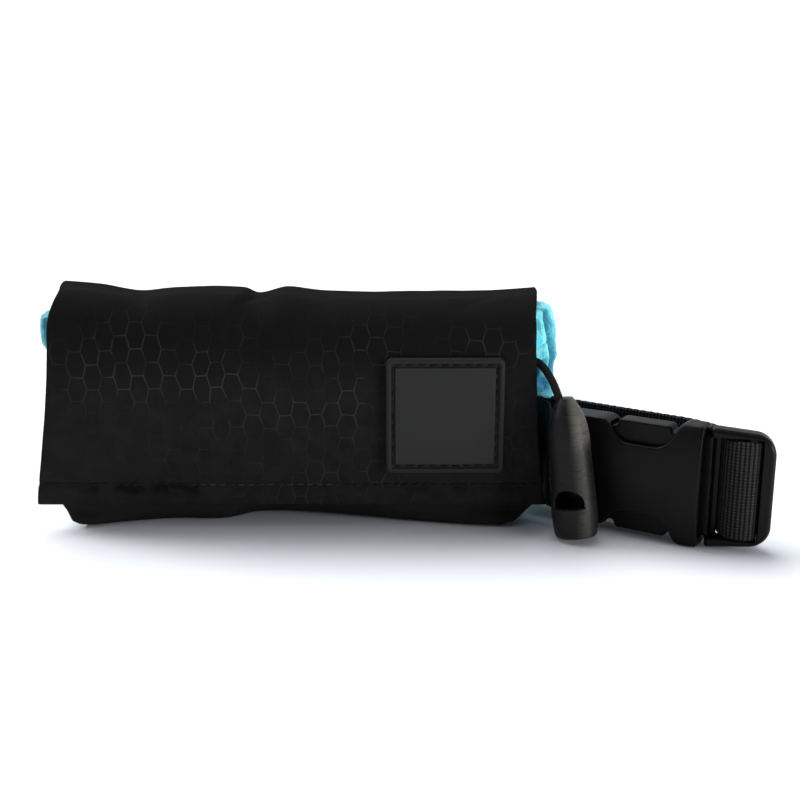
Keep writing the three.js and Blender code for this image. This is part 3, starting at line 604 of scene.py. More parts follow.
class Shader(Nodes):
    """A node material: one Principled surface, with helpers that make what feeds it."""

    def __init__(self, name, **constants):
        self.material = bpy.data.materials.new(name)
        self.material.use_nodes = True
        super().__init__(self.material.node_tree)
        self.surface = self.tree.nodes["Principled BSDF"]
        for socket, value in constants.items():
            self.set(self.surface, socket.replace("_", " "), value)

    def cloth_map(self):
        """The cloth's own coordinates across and along it, in millimetres."""
        across, along, _ = self.parts(self.node("UVMap", "UV", uv_map="cloth"))
        return self.math("MULTIPLY", across, MAP_UNIT), self.math("MULTIPLY", along, MAP_UNIT)

    def layer(self, name):
        """A value that the mesh keeps for each point."""
        return self.node("Attribute", "Fac", attribute_name=name)

    def place(self):
        return self.node("TexCoord", "Object")

    def scaled_place(self, scale):
        """The place on the object, scaled along each axis; a small scale draws noise out along it."""
        return self.node("Mapping", 0, {"Vector": self.place(), "Scale": scale})

    def noise(self, wide, detail=2.0, rough=0.5, at=None):
        """Noise from 0 to 1 with features of about that many millimetres."""
        inputs = {"Vector": at or self.place(), "Scale": 1 / (wide * MM)}
        return self.node("TexNoise", 0, inputs | {"Detail": detail, "Roughness": rough})

    def wave(self, place, pitch):
        """A wave from 0 to 1 with a pitch in the place's own unit."""
        turn = self.math("MULTIPLY", place, 2 * math.pi / pitch)
        return self.math("ADD", self.math("MULTIPLY", self.math("SINE", turn), 0.5), 0.5)

    def weave(self, across, along):
        return self.product(self.wave(across, WEAVE_PITCH), self.wave(along, WEAVE_PITCH))

    def between(self, value, low, high, to_low=0.0, to_high=1.0):
        inputs = {"Value": value, "From Min": low, "From Max": high, "To Min": to_low, "To Max": to_high}
        return self.node("MapRange", 0, inputs, interpolation_type="SMOOTHSTEP")

    def blend(self, share, low, high):
        """A colour between two."""
        node = self.tree.nodes.new("ShaderNodeMix")
        node.data_type = "RGBA"
        self.set(node, "Factor", share)
        for socket, colour in ((6, low), (7, high)):
            self.set(node, socket, colour if isinstance(colour, bpy.types.NodeSocket) else (*colour, 1))
        return node.outputs[2]

    def bump(self, height, distance, strength=1.0, under=None):
        inputs = {"Height": height, "Distance": distance * MM, "Strength": strength}
        if under is not None:
            inputs["Normal"] = under
        return self.node("Bump", 0, inputs)

    def finish(self, colour, roughness, normal):
        for socket, value in (("Base Color", colour), ("Roughness", roughness), ("Normal", normal)):
            self.set(self.surface, socket, value)
        return self.material


def hex_lines(shader, across, along):
    """1 on the embossed lines round the hexagons and 0 inside them."""
    column, tall = HEX["column"], HEX["tall"]
    half_tall = tall / 2
    slant = column - 2 * HEX["flat_half"]
    lean = math.hypot(slant, half_tall)

    def inside(shift):
        x = shader.math("PINGPONG", shader.math("ADD", across, shift * column), column)
        y = shader.math("PINGPONG", shader.math("ADD", along, shift * half_tall), half_tall)
        top = shader.math("SUBTRACT", half_tall, y)
        corner_x = shader.math("SUBTRACT", HEX["flat_half"] + slant, x)
        side = shader.math("SUBTRACT", corner_x, shader.math("MULTIPLY", y, slant / half_tall))
        side = shader.math("MULTIPLY", side, half_tall / lean)
        return shader.math("MINIMUM", top, side)

    depth = shader.math("MAXIMUM", inside(0), inside(1))
    return shader.between(depth, 0.0, HEX["line"], 1.0, 0.0)


def plain_cloth():
    """The coated black cloth of the body and the sleeve."""
    shader = Shader("plain_cloth", Specular_IOR_Level=0.06)
    grain = shader.bump(shader.weave(*shader.cloth_map()), 0.05, 0.5)
    mottle = shader.noise(5.0, 4.0, 0.6)
    colour = shader.blend(mottle, (0.0105, 0.0104, 0.0103), (0.0145, 0.0142, 0.0138))
    return shader.finish(colour, 0.75, shader.bump(mottle, 0.35, 0.5, grain))


def embossed_cloth():
    """The flap's: the same cloth with embossed hexagons that wander and fade, and painted shade on its top
    and puckers.
    """
    shader = Shader("embossed_cloth", Specular_IOR_Level=0.006)
    across, along = shader.cloth_map()
    drift = shader.math("MULTIPLY", shader.noise(26.0, 1.0), HEX["wander"])
    lines = hex_lines(shader, shader.math("ADD", across, drift), shader.math("SUBTRACT", along, drift))
    patchy = shader.between(shader.noise(9.0, 3.0), 0.4, 0.6, 0.12, 1.0)
    shown = shader.product(lines, patchy, shader.layer("emboss"))
    mottle = shader.noise(5.0, 4.0, 0.6)
    mottled = shader.between(mottle, 0.3, 0.7)
    low = shader.blend(mottled, (0.0125, 0.0122, 0.0119), (0.0162, 0.0156, 0.0148))
    # Painted shade: the flap's cloth turns darker from partway up towards its top.
    tone = shader.blend(shader.between(along, *TOP_PAINTED_SHADE), low, (0.0092, 0.009, 0.0088))
    lined = shader.blend(shown, tone, (0.046, 0.046, 0.046))
    # Painted shade: the cloth is darkened where the hem puckers.
    colour = shader.blend(shader.layer("painted_shade"), lined, (0.0065, 0.0065, 0.007))
    grain = shader.bump(shader.weave(across, along), 0.05, 0.5)
    soft = shader.bump(mottle, 0.2, 0.5, grain)
    return shader.finish(colour, 0.85, shader.bump(shown, 0.18, 0.8, soft))


def blue_cloth(name, dark, light, line):
    """The gussets': thin crinkled cloth with pale embossed lines, streaks up it and painted shade in its
    folds.
    """
    shader = Shader(name, Specular_IOR_Level=0.25, Sheen_Weight=0.1, Sheen_Roughness=0.4)
    lines = hex_lines(shader, *shader.cloth_map())
    crinkle = shader.noise(2.2, 4.0, 0.65)
    streaks = shader.noise(1.3, 3.0, 0.6, shader.scaled_place((1.0, 1.0, 0.22)))
    tone = shader.blend(shader.between(streaks, 0.35, 0.65), dark, light)
    # Painted shade: the colour the cloth is darkened to in its folds and creases and below the cord.
    deep = tuple(part * share for part, share in zip(dark, (0.1, 0.2, 0.3)))
    colour = shader.blend(shader.layer("painted_shade"), shader.blend(lines, tone, line), deep)
    normal = shader.bump(lines, 0.12, 0.7, shader.bump(crinkle, 0.8, 0.9))
    return shader.finish(colour, 0.5, normal)


def webbing():
    shader = Shader("webbing", Specular_IOR_Level=0.12)
    across, along = shader.cloth_map()
    ribs = shader.between(shader.wave(along, 1.12), 0.1, 0.8)
    picks = shader.between(shader.wave(across, 0.95), 0.0, 1.0, 0.4, 1.0)
    weave = shader.math("MULTIPLY", ribs, picks)
    fuzz = shader.noise(0.8, 3.0, 0.6)
    tone = shader.blend(weave, (0.0025, 0.0025, 0.0027), (0.042, 0.041, 0.039))
    colour = shader.blend(shader.between(fuzz, 0.5, 0.8, 0.0, 0.4), tone, (0.03, 0.03, 0.029))
    normal = shader.bump(weave, 0.35, 0.8, shader.bump(fuzz, 0.1, 0.4))
    return shader.finish(colour, 0.75, normal)


def rubber():
    shader = Shader("rubber", Specular_IOR_Level=0.14)
    grain = shader.noise(0.7, 3.0, 0.6)
    cloud = shader.noise(9.0, 2.0)
    rim = shader.blend(cloud, (0.0155, 0.0154, 0.0153), (0.0195, 0.0193, 0.0191))
    bare = shader.blend(cloud, (0.021, 0.0208, 0.0206), (0.027, 0.0266, 0.0262))
    colour = shader.blend(shader.layer("field"), rim, bare)
    roughness = shader.between(cloud, 0.3, 0.7, 0.56, 0.68)
    return shader.finish(colour, roughness, shader.bump(grain, 0.05, 0.35))


def moulded_plastic():
    shader = Shader("moulded_plastic", Specular_IOR_Level=0.11)
    grain = shader.noise(0.45, 2.0, 0.5)
    cloud = shader.noise(12.0, 3.0)
    colour = shader.blend(cloud, (0.0036, 0.0034, 0.0031), (0.0052, 0.0048, 0.0042))
    roughness = shader.between(cloud, 0.3, 0.7, 0.34, 0.46)
    return shader.finish(colour, roughness, shader.bump(grain, 0.03, 0.35))


def scuffed_highlit_plastic():
    """The whistle's: the same plastic with fine rings, scuffs round it and a pale side that is painted
    highlight.
    """
    shader = Shader("scuffed_highlit_plastic", Specular_IOR_Level=0.2)
    scuffs = shader.noise(0.9, 4.0, 0.7, shader.scaled_place((0.12, 0.12, 1.0)))
    x, _, z = shader.parts(shader.place())
    rings = shader.wave(z, RING_PITCH * MM)
    tone = shader.blend(scuffs, (0.0015, 0.0015, 0.0015), (0.0102, 0.0096, 0.0087))
    ringed = shader.blend(shader.math("MULTIPLY", rings, 0.3), tone, (0.014, 0.0132, 0.0122))
    # Painted highlight: a pale streak up the right side and over the shoulder, patchy with the scuffs.
    upright = shader.math("ADD", x, shader.math("MULTIPLY", z, HIGHLIGHT_STREAK["lean"]))
    from_left = shader.between(upright, HIGHLIGHT_STREAK["from_x"] * MM, HIGHLIGHT_STREAK["full_x"] * MM)
    past = shader.between(upright, HIGHLIGHT_STREAK["fade_x"] * MM, HIGHLIGHT_STREAK["end_x"] * MM, 1.0, 0.0)
    high = shader.between(z, HIGHLIGHT_STREAK["shoulder_z"] * MM, HIGHLIGHT_STREAK["tip_z"] * MM)
    strength = shader.between(high, 0.0, 1.0, HIGHLIGHT_STREAK["low"], HIGHLIGHT_STREAK["high"])
    patchy = shader.between(scuffs, 0.25, 0.6, 0.5, 1.0)
    wear_and_highlight = shader.product(from_left, shader.math("MAXIMUM", past, high), strength, patchy)
    colour = shader.blend(wear_and_highlight, ringed, (0.15, 0.137, 0.118))
    roughness = shader.between(scuffs, 0.3, 0.7, 0.38, 0.56)
    normal = shader.bump(rings, 0.06, 0.45, shader.bump(scuffs, 0.12, 0.7))
    return shader.finish(colour, roughness, normal)


def braid():
    shader = Shader("braid", Specular_IOR_Level=0.1)
    across, along = shader.cloth_map()
    left = shader.wave(shader.math("ADD", along, across), 1.25)
    right = shader.wave(shader.math("SUBTRACT", along, across), 1.25)
    strands = shader.math("MAXIMUM", left, right)
    colour = shader.blend(strands, (0.003, 0.003, 0.003), (0.013, 0.012, 0.012))
    return shader.finish(colour, 0.7, shader.bump(strands, 0.3, 0.9))


def thread(name, dark, light, worn_x):
    """Twisted thread, worn lighter in patches from an x to an x."""
    shader = Shader(name, Specular_IOR_Level=0.15)
    low, high = worn_x
    twist = shader.noise(0.35, 2.0, 0.6)
    x, _, _ = shader.parts(shader.place())
    start = shader.between(x, (low - THREAD_FADE) * MM, low * MM)
    end = shader.between(x, high * MM, (high + THREAD_FADE) * MM, 1.0, 0.0)
    wear_and_highlight = shader.product(shader.between(shader.noise(9.0, 2.0), 0.36, 0.56), start, end)
    return shader.finish(shader.blend(wear_and_highlight, dark, light), 0.7, shader.bump(twist, 0.08, 0.6))


CLOTH = plain_cloth()
EMBOSSED = embossed_cloth()
BLUE = blue_cloth("blue_cloth", (0.1, 0.76, 0.97), (0.3, 0.96, 1.0), (0.42, 0.97, 1.0))
# Painted shade: the left gusset's blue is a darker, shaded copy of the right one's.
SHADED_BLUE = blue_cloth("shaded_blue_cloth", (0.04, 0.28, 0.36), (0.07, 0.36, 0.45), (0.1, 0.4, 0.48))
WEBBING = webbing()
RUBBER = rubber()
PLASTIC = moulded_plastic()
SCUFFED_HIGHLIT = scuffed_highlit_plastic()
BRAID = braid()
THREAD = thread("black_thread", (0.004, 0.004, 0.004), (0.012, 0.012, 0.012), (-90, 90))
WORN_THREAD = thread("worn_thread", (0.006, 0.006, 0.006), (0.03, 0.03, 0.03), (-26, 16))


# Cloth pieces.


def front_swell(x, z):
    """How far the front of the pouch stands out from its flat depth at a place."""
    height = np.clip((z - SWELL["low_z"]) / (SWELL["high_z"] - SWELL["low_z"]), 0, 1)
    out = SWELL["out"] * (1 - (x / SWELL["half_width"]) ** 2) * np.sin(np.pi * height)
    for dent_x, dent_z, depth, wide, tall in zip(*DENTS.values()):
        out = out - depth * hump(x, dent_x, wide) * hump(z, dent_z, tall)
    return out


def edge_x(edges, z, share):
    """The x at a height, by its share of the way from a panel's left edge to its right one."""
    left = column_at(edges, "z", "left", z)
    right = column_at(edges, "z", "right", z)
    return left + (right - left) * share


def wrapped_grid(columns, rows, edges, section_at, forward_at, spread_at):
    """A panel that runs round the pouch's depth, as a grid of points and its cloth coordinates."""
    grid = np.zeros((columns, rows, 3))
    cloth = np.zeros((columns, rows, 2))
    for i in range(columns):
        share = i / (columns - 1)
        section_x = edge_x(edges, edges["z"][-1], share)
        path, _ = rounded_path(section_at(section_x), step=1.0)
        path, lengths = resampled(path, rows)
        y, z = path.T
        x = edge_x(edges, z, share) + spread_at(share, y)
        out = np.where(y < 0, front_swell(x, z) + forward_at(x, z), 0)
        grid[i] = np.stack([x, y - out * smooth(-y, 0, FLAP_HALF_DEPTH / 2), z], axis=1)
        cloth[i] = np.stack([x, lengths], axis=1)
    return grid, cloth


def crease_depth(creases, across, up):
    """How deep a table's creases are at places on a cloth."""
    depth = np.zeros_like(across)
    for x0, up0, x1, up1, deep, wide in zip(*creases.values()):
        length = math.hypot(x1 - x0, up1 - up0)
        way = np.array((x1 - x0, up1 - up0)) / length
        share = ((across - x0) * way[0] + (up - up0) * way[1]) / length
        aside = (across - x0) * way[1] - (up - up0) * way[0]
        fade = smooth(share, *CREASE_START) * (1 - smooth(share, *CREASE_END))
        depth += deep * fade * hump(aside, 0, wide)
    return depth


def pucker_depth(x, z):
    """How far the hem's cloth is drawn in below its stitches, along the puckered stretches."""
    flat = np.zeros_like(x)
    sway = rough(np.stack([x, flat, flat], axis=-1), PUCKER_LINE["wide"], PUCKER_LINE["shift"])
    line_z = HEM["stitch_z"] - PUCKER_LINE["below"] + PUCKER_LINE["sway"] * sway
    cell = np.stack([x / PUCKER_RAGGED["wide"], z / PUCKER_RAGGED["tall"], flat], axis=-1)
    ragged = smooth(rough(cell, 1.0, PUCKER_RAGGED["shift"]), *PUCKER_RAGGED["step"])
    depth = flat
    for low, high, deep, tall in zip(*PUCKERS.values()):
        shown = smooth(x, low, low + PUCKER_END) * (1 - smooth(x, high - PUCKER_END, high))
        depth = np.maximum(depth, deep * shown * hump(z, line_z, tall))
    return depth * ragged


def emboss_shown(x, up):
    """How strongly the embossed lines' painted highlight shows, from 0 to 1, at places across the flap and
    up from its hem.
    """
    shown = np.zeros_like(x)
    for at_x, at_up, wide, tall, most in zip(*EMBOSS.values()):
        shown = np.maximum(shown, most * hump(x, at_x, wide) * hump(up, at_up, tall))
    return shown


def make_flap():
    columns, rows = 230, 150

    def section_at(x):
        top = float(column_at(RIDGE, "x", "top", x))
        return [
            (FLAP_HALF_DEPTH, FLAP_BACK_Z, 0),
            (FLAP_HALF_DEPTH, top, BACK_TOP_RADIUS),
            (-FLAP_HALF_DEPTH, top, FRONT_TOP_RADIUS),
            (-FLAP_HALF_DEPTH, FLAP_HEM_Z, 0),
        ]

    def spread_at(share, y):
        widest = TOP_SPREAD["right"] * share**4 - TOP_SPREAD["left"] * (1 - share) ** 4
        return widest * smooth(y, TOP_SPREAD["from_y"], TOP_SPREAD["to_y"])

    grid, cloth = wrapped_grid(columns, rows, FLAP_EDGES, section_at, lambda x, z: 0, spread_at)
    up = cloth[:, -1:, 1] - cloth[:, :, 1]
    cloth[:, :, 1] = up
    x, y, z = np.moveaxis(grid, 2, 0)
    front = smooth(-y, *HEM["front"])
    hem = front * (1 - smooth(z - HEM["stitch_z"], *HEM["fade"]))
    groove = front * hump(z, HEM["stitch_z"], HEM_GROOVE["wide"])
    stands = HEM["stands"] * hem - HEM_GROOVE["deep"] * groove
    puckers = front * pucker_depth(x, z)
    stands -= crease_depth(CREASES, x, up) + puckers
    for height, wide, shift in zip(*FLAP_ROUGH.values()):
        stands += height * rough(grid, wide, shift)
    grid += grid_normals(grid) * stands[:, :, None]
    mesh = shell_mesh("flap_cloth", grid, FLAP_THICK, cloth)
    # How strongly the embossed lines show, a painted highlight, kept for the cloth's colour.
    add_layer(mesh, "emboss", emboss_shown(x, up))
    # Painted shade in the hem's puckers, kept for the cloth's colour.
    add_layer(mesh, "painted_shade", np.clip(puckers, 0, 1))
    return add_piece("flap_cloth", mesh, EMBOSSED, "cloth_black", "flap"), grid


def make_body():
    columns, rows = 180, 150

    def section_at(x):
        return [
            (-BODY_HALF_DEPTH, float(column_at(FRONT_TOP, "x", "z", x)), 0),
            (-BODY_HALF_DEPTH, 0, float(column_at(FOOT, "x", "radius", x))),
            (BODY_HALF_DEPTH, 0, BACK_FOOT_RADIUS),
            (BODY_HALF_DEPTH, BODY_BACK_TOP_Z, 0),
        ]

    def forward_at(x, z):
        forward = column_at(FOOT, "x", "forward", x)
        return forward * (1 - smooth(z, FOOT_BULGE["full_z"], FOOT_BULGE["end_z"]))

    grid, cloth = wrapped_grid(columns, rows, BODY_EDGES, section_at, forward_at, lambda share, y: 0)
    y, z = grid[:, :, 1], grid[:, :, 2]
    loose = smooth(z, *BODY_ROUGH["rise"]) * (1 - smooth(z, *BODY_ROUGH["fall"]))
    loose *= smooth(-y, *BODY_ROUGH["front"])
    stands = BODY_ROUGH["height"] * loose * rough(grid, BODY_ROUGH["wide"], BODY_ROUGH["shift"])
    grid += grid_normals(grid) * stands[:, :, None]
    mesh = shell_mesh("pouch_cloth", grid, BODY_THICK, cloth)
    add_piece("pouch_cloth", mesh, CLOTH, "cloth_black", "pouch_body")


def room_at(z, outer_foot, outer_top):
    """Half the clear depth inside the pouch at a height, past the round foot and the round top."""
    low = BODY_THICK + GAP
    foot_radius = outer_foot - low
    crown_radius = outer_top - FLAP_THICK - GAP

    def sag(radius, past):
        return radius - math.sqrt(max(radius**2 - max(past, 0) ** 2, 0))

    foot = sag(foot_radius, low + foot_radius - z)
    crown = sag(crown_radius, z - (GUSSET_TOP_Z - crown_radius))
    return ROOM_HALF_DEPTH - foot - crown


def gusset_fold(round_share, at):
    """A fold at a place round a gusset: how far its cloth goes in, or out where it rolls, and its painted
    shade.
    """
    valley = hump(round_share, at, GUSSET_FOLD["wide"])
    roll = GUSSET_ROLL["high"] * hump(round_share, at + GUSSET_ROLL["at"], GUSSET_ROLL["wide"])
    past = smooth(round_share, at - GUSSET_FOLD["lip"], at)
    past *= 1 - smooth(round_share, at, at + GUSSET_FOLD["shade_reach"])
    return valley - roll, np.maximum(valley, GUSSET_FOLD["shade"] * past)


def make_gusset(name, node, rows_table, side, setback):
    """A gusset on the right (side 1) or the left (-1), set back at its front where a cord passes."""
    rows, columns = 130, 170
    keys = ("reach", "square", "at", "fold", "droop")
    edge = "right" if side > 0 else "left"
    round_share = np.linspace(0, 1, columns)
    grid = np.zeros((rows, columns, 3))
    cloth = np.zeros((rows, columns, 2))
    fold = np.zeros((rows, columns))
    shade = np.zeros((rows, columns))
    heights = np.linspace(rows_table["z"][0], rows_table["z"][-1], num=800)
    profile = np.stack([heights, column_at(rows_table, "z", "reach", heights)], axis=1)
    for i, z in enumerate(resampled(profile, rows)[0][:, 0]):
        reach, square, at, depth, droop = (column_at(rows_table, "z", key, z) for key in keys)
        start = abs(column_at(BODY_EDGES, "z", edge, z)) - GUSSET_EDGE_INSET
        cord = setback * hump(z, CORD_SETBACK["z"], CORD_SETBACK["reach"])
        front = room_at(z, FRONT_FOOT_RADIUS, FRONT_TOP_RADIUS) - cord
        back = room_at(z, BACK_FOOT_RADIUS, BACK_TOP_RADIUS)
        inward, dark = gusset_fold(round_share, at)
        fold[i] = depth * inward
        shade[i] = min(depth / GUSSET_FOLD["full_depth"], 1) * dark
        if side > 0:
            # Painted shade below the cord, towards the gusset's front.
            below = CORD_SHADE["most"] * (1 - smooth(z, *CORD_SHADE["z"]))
            shade[i] += below * (1 - smooth(round_share, *CORD_SHADE["round"]))
        share_out = np.sin(np.pi * round_share) ** square
        x = side * (start + (reach - start) * share_out)
        y = -front + (back + front) * (1 - np.cos(np.pi * round_share)) / 2
        grid[i] = np.stack([x, y, z - droop * share_out**2], axis=1)
        cloth[i] = np.stack([np.pi * ROOM_HALF_DEPTH * round_share, np.full(columns, z)], axis=1)
    if side < 0:
        grid, cloth, fold, shade = (values[:, ::-1] for values in (grid, cloth, fold, shade))
    held = smooth(np.minimum(round_share, 1 - round_share), 0, GUSSET_HELD)
    creases = crease_depth(GUSSET_CREASES, grid[:, :, 1], grid[:, :, 2]) * (1 if side > 0 else LEFT_CREASES)
    drawn_in = creases.copy()
    for height, wide, shift, upright in zip(*CRUMPLE.values()):
        drawn_in += height * np.abs(rough(grid * (1, 1, upright), wide, shift))
    grid += grid_normals(grid) * (GUSSET_OUT - fold - drawn_in * held)[:, :, None]
    mesh = shell_mesh(name, grid, GUSSET_THICK, cloth)
    # Painted shade from folds, creases and the cord, kept for the cloth's colour.
    add_layer(mesh, "painted_shade", np.clip(shade + CREASE_SHADE * creases, 0, 1))
    # The left gusset takes the shaded copy of the blue.
    add_piece(name, mesh, BLUE if side > 0 else SHADED_BLUE, "cloth_blue", node)


def add_stitches(name, rows, stitch, material):
    """Short rounded stitches, each at a place, along a way and standing out of its cloth."""
    rings, sides = 6, 7
    blunt, taper, lifted = 0.15, 0.6, 0.6
    radius = stitch["radius"]
    points = []
    faces = []
    for place, way, out in rows:
        way = unit(np.array(way, float))
        out = unit(np.array(out, float))
        aside = np.cross(way, out)
        faces.extend(loft_faces(rings, sides, len(points)))
        for ring in range(rings):
            angle = math.pi * ring / (rings - 1)
            middle = np.array(place) - way * math.cos(angle) * stitch["long"] / 2
            wide = radius * max(math.sin(angle), blunt) ** taper
            lift = out * radius * lifted * math.sin(angle)
            for k in range(sides):
                turn = 2 * math.pi * k / sides
                points.append(middle + lift + wide * (math.cos(turn) * aside + math.sin(turn) * out))
    return add_piece(name, make_mesh(name, points, faces), material, "cloth_black")


def make_hem_stitches(flap):
    """A row along the hem, on the points of the flap's grid that are nearest."""
    z = HEM["stitch_z"]
    left = float(edge_x(FLAP_EDGES, z, 0)) + HEM_STITCH["from_end"]
    right = float(edge_x(FLAP_EDGES, z, 1)) - HEM_STITCH["from_end"]
    normals = grid_normals(flap)
    front_rows = np.arange(flap.shape[1] // 2, flap.shape[1])
    rows = []
    for x in np.arange(left, right, HEM_STITCH["pitch"]):
        i = np.argmin(np.abs(flap[:, -1, 0] - x))
        j = front_rows[np.argmin(np.abs(flap[i, front_rows, 2] - z))]
        way = flap[min(i + 2, len(flap) - 1), j] - flap[max(i - 2, 0), j]
        rows.append(((x, flap[i, j, 1], z), way, normals[i, j]))
    return add_stitches("hem_stitches", rows, HEM_STITCH, WORN_THREAD)


def patch_height(depth):
    """How high the patch stands at a distance in from its edge."""
    middle = PATCH_RIM["wide"] / 2
    crown = np.sqrt(np.clip(1 - ((depth - middle) / middle) ** 2, 0, 1))
    rim = PATCH_RIM["foot"] + (PATCH_RIM["high"] - PATCH_RIM["foot"]) * crown
    groove_end = PATCH_RIM["wide"] + PATCH_GROOVE["wide"]
    rise = smooth(depth - groove_end, *PATCH_FIELD["rise"])
    inner = PATCH_GROOVE["high"] + (PATCH_FIELD["high"] - PATCH_GROOVE["high"]) * rise
    return np.where(depth < PATCH_RIM["wide"], rim, inner)


def patch_place(a, b, height):
    """A place on the patch's face in space, from its own axes and a height above the flap."""
    x = PATCH["x"] + a
    z = PATCH["z"] + b
    return np.stack([x, -(FLAP_HALF_DEPTH + front_swell(x, z) + PATCH["gap"] + height), z], axis=-1)


def make_patch():
    half = PATCH["side"] / 2
    fine = np.linspace(0, PATCH_LINES["fine_to"], PATCH_LINES["fine"])
    coarse = np.linspace(PATCH_LINES["coarse_from"], half, PATCH_LINES["coarse"])
    steps = np.concatenate([fine, coarse])
    lines = np.concatenate([steps - half, (half - steps)[::-1][1:]])
    a, b = np.meshgrid(lines, lines, indexing="ij")
    depth = half - np.maximum(np.abs(a), np.abs(b))
    edge = half - PATCH["corner"]
    over_a = np.maximum(np.abs(a) - edge, 0)
    over_b = np.maximum(np.abs(b) - edge, 0)
    reach = np.maximum(np.hypot(over_a, over_b), 1e-9)
    pull = np.maximum(over_a, over_b) / reach
    corner = (over_a > 0) & (over_b > 0)
    round_a = np.where(corner, np.sign(a) * (edge + over_a * pull), a)
    round_b = np.where(corner, np.sign(b) * (edge + over_b * pull), b)
    top = patch_place(round_a, round_b, patch_height(depth))
    rows = len(lines)
    border = border_of(rows, rows)
    foot = patch_place(round_a, round_b, np.zeros_like(a)).reshape(-1, 3)[border]
    points = np.concatenate([top.reshape(-1, 3), foot])
    faces = grid_faces(rows, rows, flip=True)
    around = len(border)
    for n in range(around):
        m = (n + 1) % around
        faces.append((rows * rows + m, rows * rows + n, border[n], border[m]))
    faces.append(tuple(rows * rows + n for n in range(around)))
    mesh = make_mesh("patch_rubber", points, faces)
    on_field = smooth(depth - PATCH_RIM["wide"] - PATCH_GROOVE["wide"], *PATCH_FIELD["edge"])
    add_layer(mesh, "field", np.concatenate([on_field.ravel(), np.zeros(around)]))
    piece = add_piece("patch_rubber", mesh, RUBBER, "rubber", "patch")
    return piece, make_patch_stitches(half - PATCH_RIM["wide"] - PATCH_GROOVE["wide"] / 2)


def make_patch_stitches(reach):
    """Four rows in the patch's groove, a reach from its middle."""
    across, up, out = (1, 0, 0), (0, 0, 1), (0, -1, 0)
    high = PATCH_GROOVE["high"] + PATCH_STITCH["lift"]
    count = round(2 * reach / PATCH_STITCH["pitch"])
    rows = []
    for k in range(count):
        s = -reach + (k + 0.5) * 2 * reach / count
        for a, b, way in ((s, reach, across), (s, -reach, across), (reach, s, up), (-reach, s, up)):
            rows.append((patch_place(np.float64(a), np.float64(b), high), way, out))
    return add_stitches("patch_stitches", rows, PATCH_STITCH, THREAD)


def make_sleeve():
    """A panel sewn to the pouch's back above and below the belt, with its two seams."""
    columns, rows = 150, 70
    seat = BODY_HALF_DEPTH + GAP + SLEEVE_THICK
    stand = seat + BELT["thick"] + GAP
    low = BELT_SLEEVE_Z - SLEEVE["room_half"]
    high = BELT_SLEEVE_Z + SLEEVE["room_half"]
    corners = [
        (seat, low - SLEEVE["edge"], 0),
        (stand, low, SLEEVE["corner"]),
        (stand, high, SLEEVE["corner"]),
        (seat, high + SLEEVE["edge"], 0),
    ]
    section, _ = resampled(rounded_path(corners, step=0.5)[0], rows)
    grid = np.zeros((columns, rows, 3))
    grid[:, :, 0] = np.linspace(-SLEEVE["half_width"], SLEEVE["half_width"], columns)[:, None]
    grid[:, :, 1:] = section[None]
    grid[:, :, 1] += SLEEVE_ROUGH["height"] * rough(grid, SLEEVE_ROUGH["wide"], SLEEVE_ROUGH["shift"])
    mesh = shell_mesh("sleeve_cloth", grid, SLEEVE_THICK, grid[:, :, ::2])
    add_piece("sleeve_cloth", mesh, CLOTH, "cloth_black", "belt_sleeve")
    past, lean = SLEEVE_SEAM["past"], SLEEVE_SEAM["lean"]
    y = stand + (seat - stand) * past / SLEEVE["edge"] + SLEEVE_SEAM["lift"]
    end = SLEEVE["half_width"] - SLEEVE_STITCH["from_end"]
    stitches = []
    for x in np.arange(-end, end + 1, SLEEVE_STITCH["pitch"]):
        for z, tilt in ((low - past, -lean), (high + past, lean)):
            stitches.append(((x, y, z), (1, 0, 0), (0, 1, tilt)))
    add_stitches("sleeve_stitches", stitches, SLEEVE_STITCH, THREAD)


# The belt.


def turned(point, angle):
    """A place in plan turned about the origin."""
    c, s = math.cos(angle), math.sin(angle)
    return np.array((point[0] * c - point[1] * s, point[0] * s + point[1] * c))


def beside_buckle(along, behind):
    """A place beside the buckle in plan: how far along it from the seam, and how far behind its middle."""
    return turned((along, behind), -BUCKLE["yaw"]) + np.array(BUCKLE["seam"][:2])


def beside_plug(along, behind):
    """The same on the plug's frame, which bends back from the seam."""
    return beside_buckle(*turned((along, behind), BUCKLE["bend"]))


